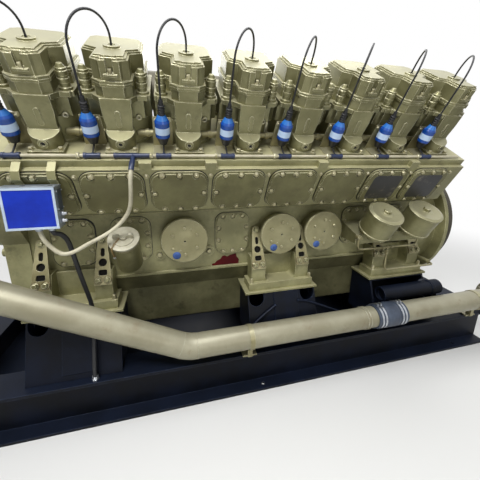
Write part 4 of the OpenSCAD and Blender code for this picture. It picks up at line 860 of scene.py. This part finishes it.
case = bmesh.new()
box(case, (box_left, box_front + 0.003, box_low), (box_right, box_back, box_high))
box(case, (box_left - lid_t, box_front, box_high), (box_right + lid_t, box_back - lid_t, box_high + lid_t))
control_case = made("control_case", case, case_silver)
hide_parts("control_box")
inner_low, inner_high = box_low + frame_in, box_high - frame_in
inner_left, inner_right = box_left + frame_in, box_right - frame_in
white_frame = bmesh.new()
box(white_frame, (box_left, box_front, box_low), (box_right, frame_y, inner_low))
box(white_frame, (box_left, box_front, inner_high), (box_right, frame_y, box_high))
box(white_frame, (box_left, box_front, inner_low), (inner_left, frame_y, inner_high))
box(white_frame, (inner_right, box_front, inner_low), (box_right, frame_y, inner_high))
made("control_box_frame", white_frame, frame_white)
face = bmesh.new()
box(face, (inner_left, face_y, inner_low), (inner_right, box_front + 0.0032, inner_high))
made("control_box_face", face, box_blue)
gland_profile = [(0, 0), (0.0115, 0), (0.0135, 0.004), (0.0135, 0.013), (0.0165, 0.0135), (0.0165, 0.0272),
                 (0, 0.0272)]
glands = [(Vector((x, -0.610, 1.061)), up_z) for x in (-0.945, -0.990)]
turned("control_box_glands", gland_profile, glands, case_silver)
side_profile = [(0, 0), (0.0095, 0), (0.0095, 0.006), (0.0065, 0.008), (0.0065, 0.017), (0.004, 0.019),
                (0, 0.019)]
connectors = [(Vector((box_right + 0.001, y, z)), right_x) for y, z in ((-0.606, 1.099), (-0.602, 1.127))]
turned("control_box_connectors", side_profile, connectors, bare_steel)
side_cover = bmesh.new()
box(side_cover, (box_right, box_front + 0.020, box_low + 0.068),
    (box_right + 0.003, box_back - 0.008, box_high - 0.012))
made("control_box_side_cover", side_cover, box_charcoal)
corners = [(Vector((box_right + 0.001, y, z)), right_x)
           for y in (box_front + 0.013, box_back - 0.004) for z in (box_low + 0.075, box_high - 0.018)]
bolts("control_box_screws", corners, 0.006, bare_steel, seed=21)
# Flat black discs on the lid are painted shade for two holes in it.
lid_hole_shades = [(Vector((x, -0.612, box_high + 0.0038)), up_z) for x in (-1.020, -0.927)]
turned("control_box_hole_shades", [(0, 0), (0.009, 0), (0.009, 0.0008), (0, 0.0008)], lid_hole_shades, black_rubber_and_hole_shade)

# Flywheel and exhaust manifold: dark iron, left without paint and dull from heat.
# The flywheel is bolted to the crankshaft, and the manifold lies in the valley of the banks.
dark_iron = paint("dark_iron", (84, 80, 68), (64, 60, 50), (128, 124, 108), metallic=0.5, roughness=0.5)
dress(dark_iron, "flywheel", "exhaust_manifold")

# Floor: a plain pale studio floor that fades to white far out.
# Its shadow shows what the skid stands on.
floor_half, fade_start, fade_end = 40, 2.3, 5.0
floor_mesh = bpy.data.meshes.new("floor")
floor_mesh.from_pydata([(-floor_half, -floor_half, 0), (floor_half, -floor_half, 0),
                        (floor_half, floor_half, 0), (-floor_half, floor_half, 0)], [], [(0, 1, 2, 3)])
floor = bpy.data.objects.new("floor", floor_mesh)
bpy.context.scene.collection.objects.link(floor)
floor_wiring = Wiring("floor_paint")
floor_wiring.shader.inputs["Base Color"].default_value = linear(226, 226, 224)
floor_wiring.shader.inputs["Roughness"].default_value = 0.9
reach = floor_wiring.add("ShaderNodeVectorMath", operation="LENGTH")
floor_wiring.links.new(floor_wiring.place, reach.inputs[0])
far = floor_wiring.band(reach.outputs["Value"], fade_start, fade_end)
seen_floor = floor_wiring.add("ShaderNodeLightPath").outputs["Is Camera Ray"]
glow = floor_wiring.add("ShaderNodeEmission")
fade = floor_wiring.add("ShaderNodeMixShader")
floor_wiring.links.new(floor_wiring.math("MULTIPLY", far, seen_floor), fade.inputs[0])
floor_wiring.links.new(floor_wiring.shader.outputs[0], fade.inputs[1])
floor_wiring.links.new(glow.outputs[0], fade.inputs[2])
floor_wiring.links.new(fade.outputs[0], floor_wiring.nodes["Material Output"].inputs["Surface"])
floor_mesh.materials.append(floor_wiring.material)


# Lamps: soft boxes from above and the front, and one behind for the far side.
# The world is a dim sky that the camera and mirrors see as white.
def lamp(name, place, target, size, watts):
    data = bpy.data.lights.new(name, "AREA")
    data.shape = "RECTANGLE"
    data.size, data.size_y = size
    data.energy = watts
    piece = bpy.data.objects.new(name, data)
    bpy.context.scene.collection.objects.link(piece)
    piece.location = place
    aim = Vector(target) - Vector(place)
    piece.rotation_euler = aim.to_track_quat("-Z", "Y").to_euler()


lamp("key_lamp", (-1.6, -2.6, 4.2), (0, -0.3, 0.9), (2.0, 0.8), 172)
lamp("top_lamp", (0.6, -0.6, 4.6), (0.2, -0.2, 0.9), (4.5, 1.2), 130)
lamp("front_lamp", (0.5, -4.4, 1.5), (0.2, -0.3, 0.8), (1.6, 0.8), 16)
lamp("back_lamp", (0.5, 3.4, 3.6), (0, 0.3, 0.9), (4.0, 2.0), 130)
world = bpy.data.worlds.new("world")
bpy.context.scene.world = world
world.use_nodes = True
tree = world.node_tree
sky = tree.nodes["Background"]
sky.inputs["Color"].default_value = (0.9, 0.93, 1.0, 1)
sky.inputs["Strength"].default_value = 0.1
white = tree.nodes.new("ShaderNodeBackground")
white.inputs["Color"].default_value = (1, 1, 1, 1)
white.inputs["Strength"].default_value = 1.0
ray = tree.nodes.new("ShaderNodeLightPath").outputs
seen = ray["Is Camera Ray"]
for kind in ("Is Transmission Ray", "Is Glossy Ray"):
    either = tree.nodes.new("ShaderNodeMath")
    either.operation = "MAXIMUM"
    tree.links.new(seen, either.inputs[0])
    tree.links.new(ray[kind], either.inputs[1])
    seen = either.outputs[0]
blend = tree.nodes.new("ShaderNodeMixShader")
tree.links.new(seen, blend.inputs[0])
tree.links.new(sky.outputs[0], blend.inputs[1])
tree.links.new(white.outputs[0], blend.inputs[2])
tree.links.new(blend.outputs[0], tree.nodes["World Output"].inputs["Surface"])
bpy.context.scene.view_settings.view_transform = "Standard"
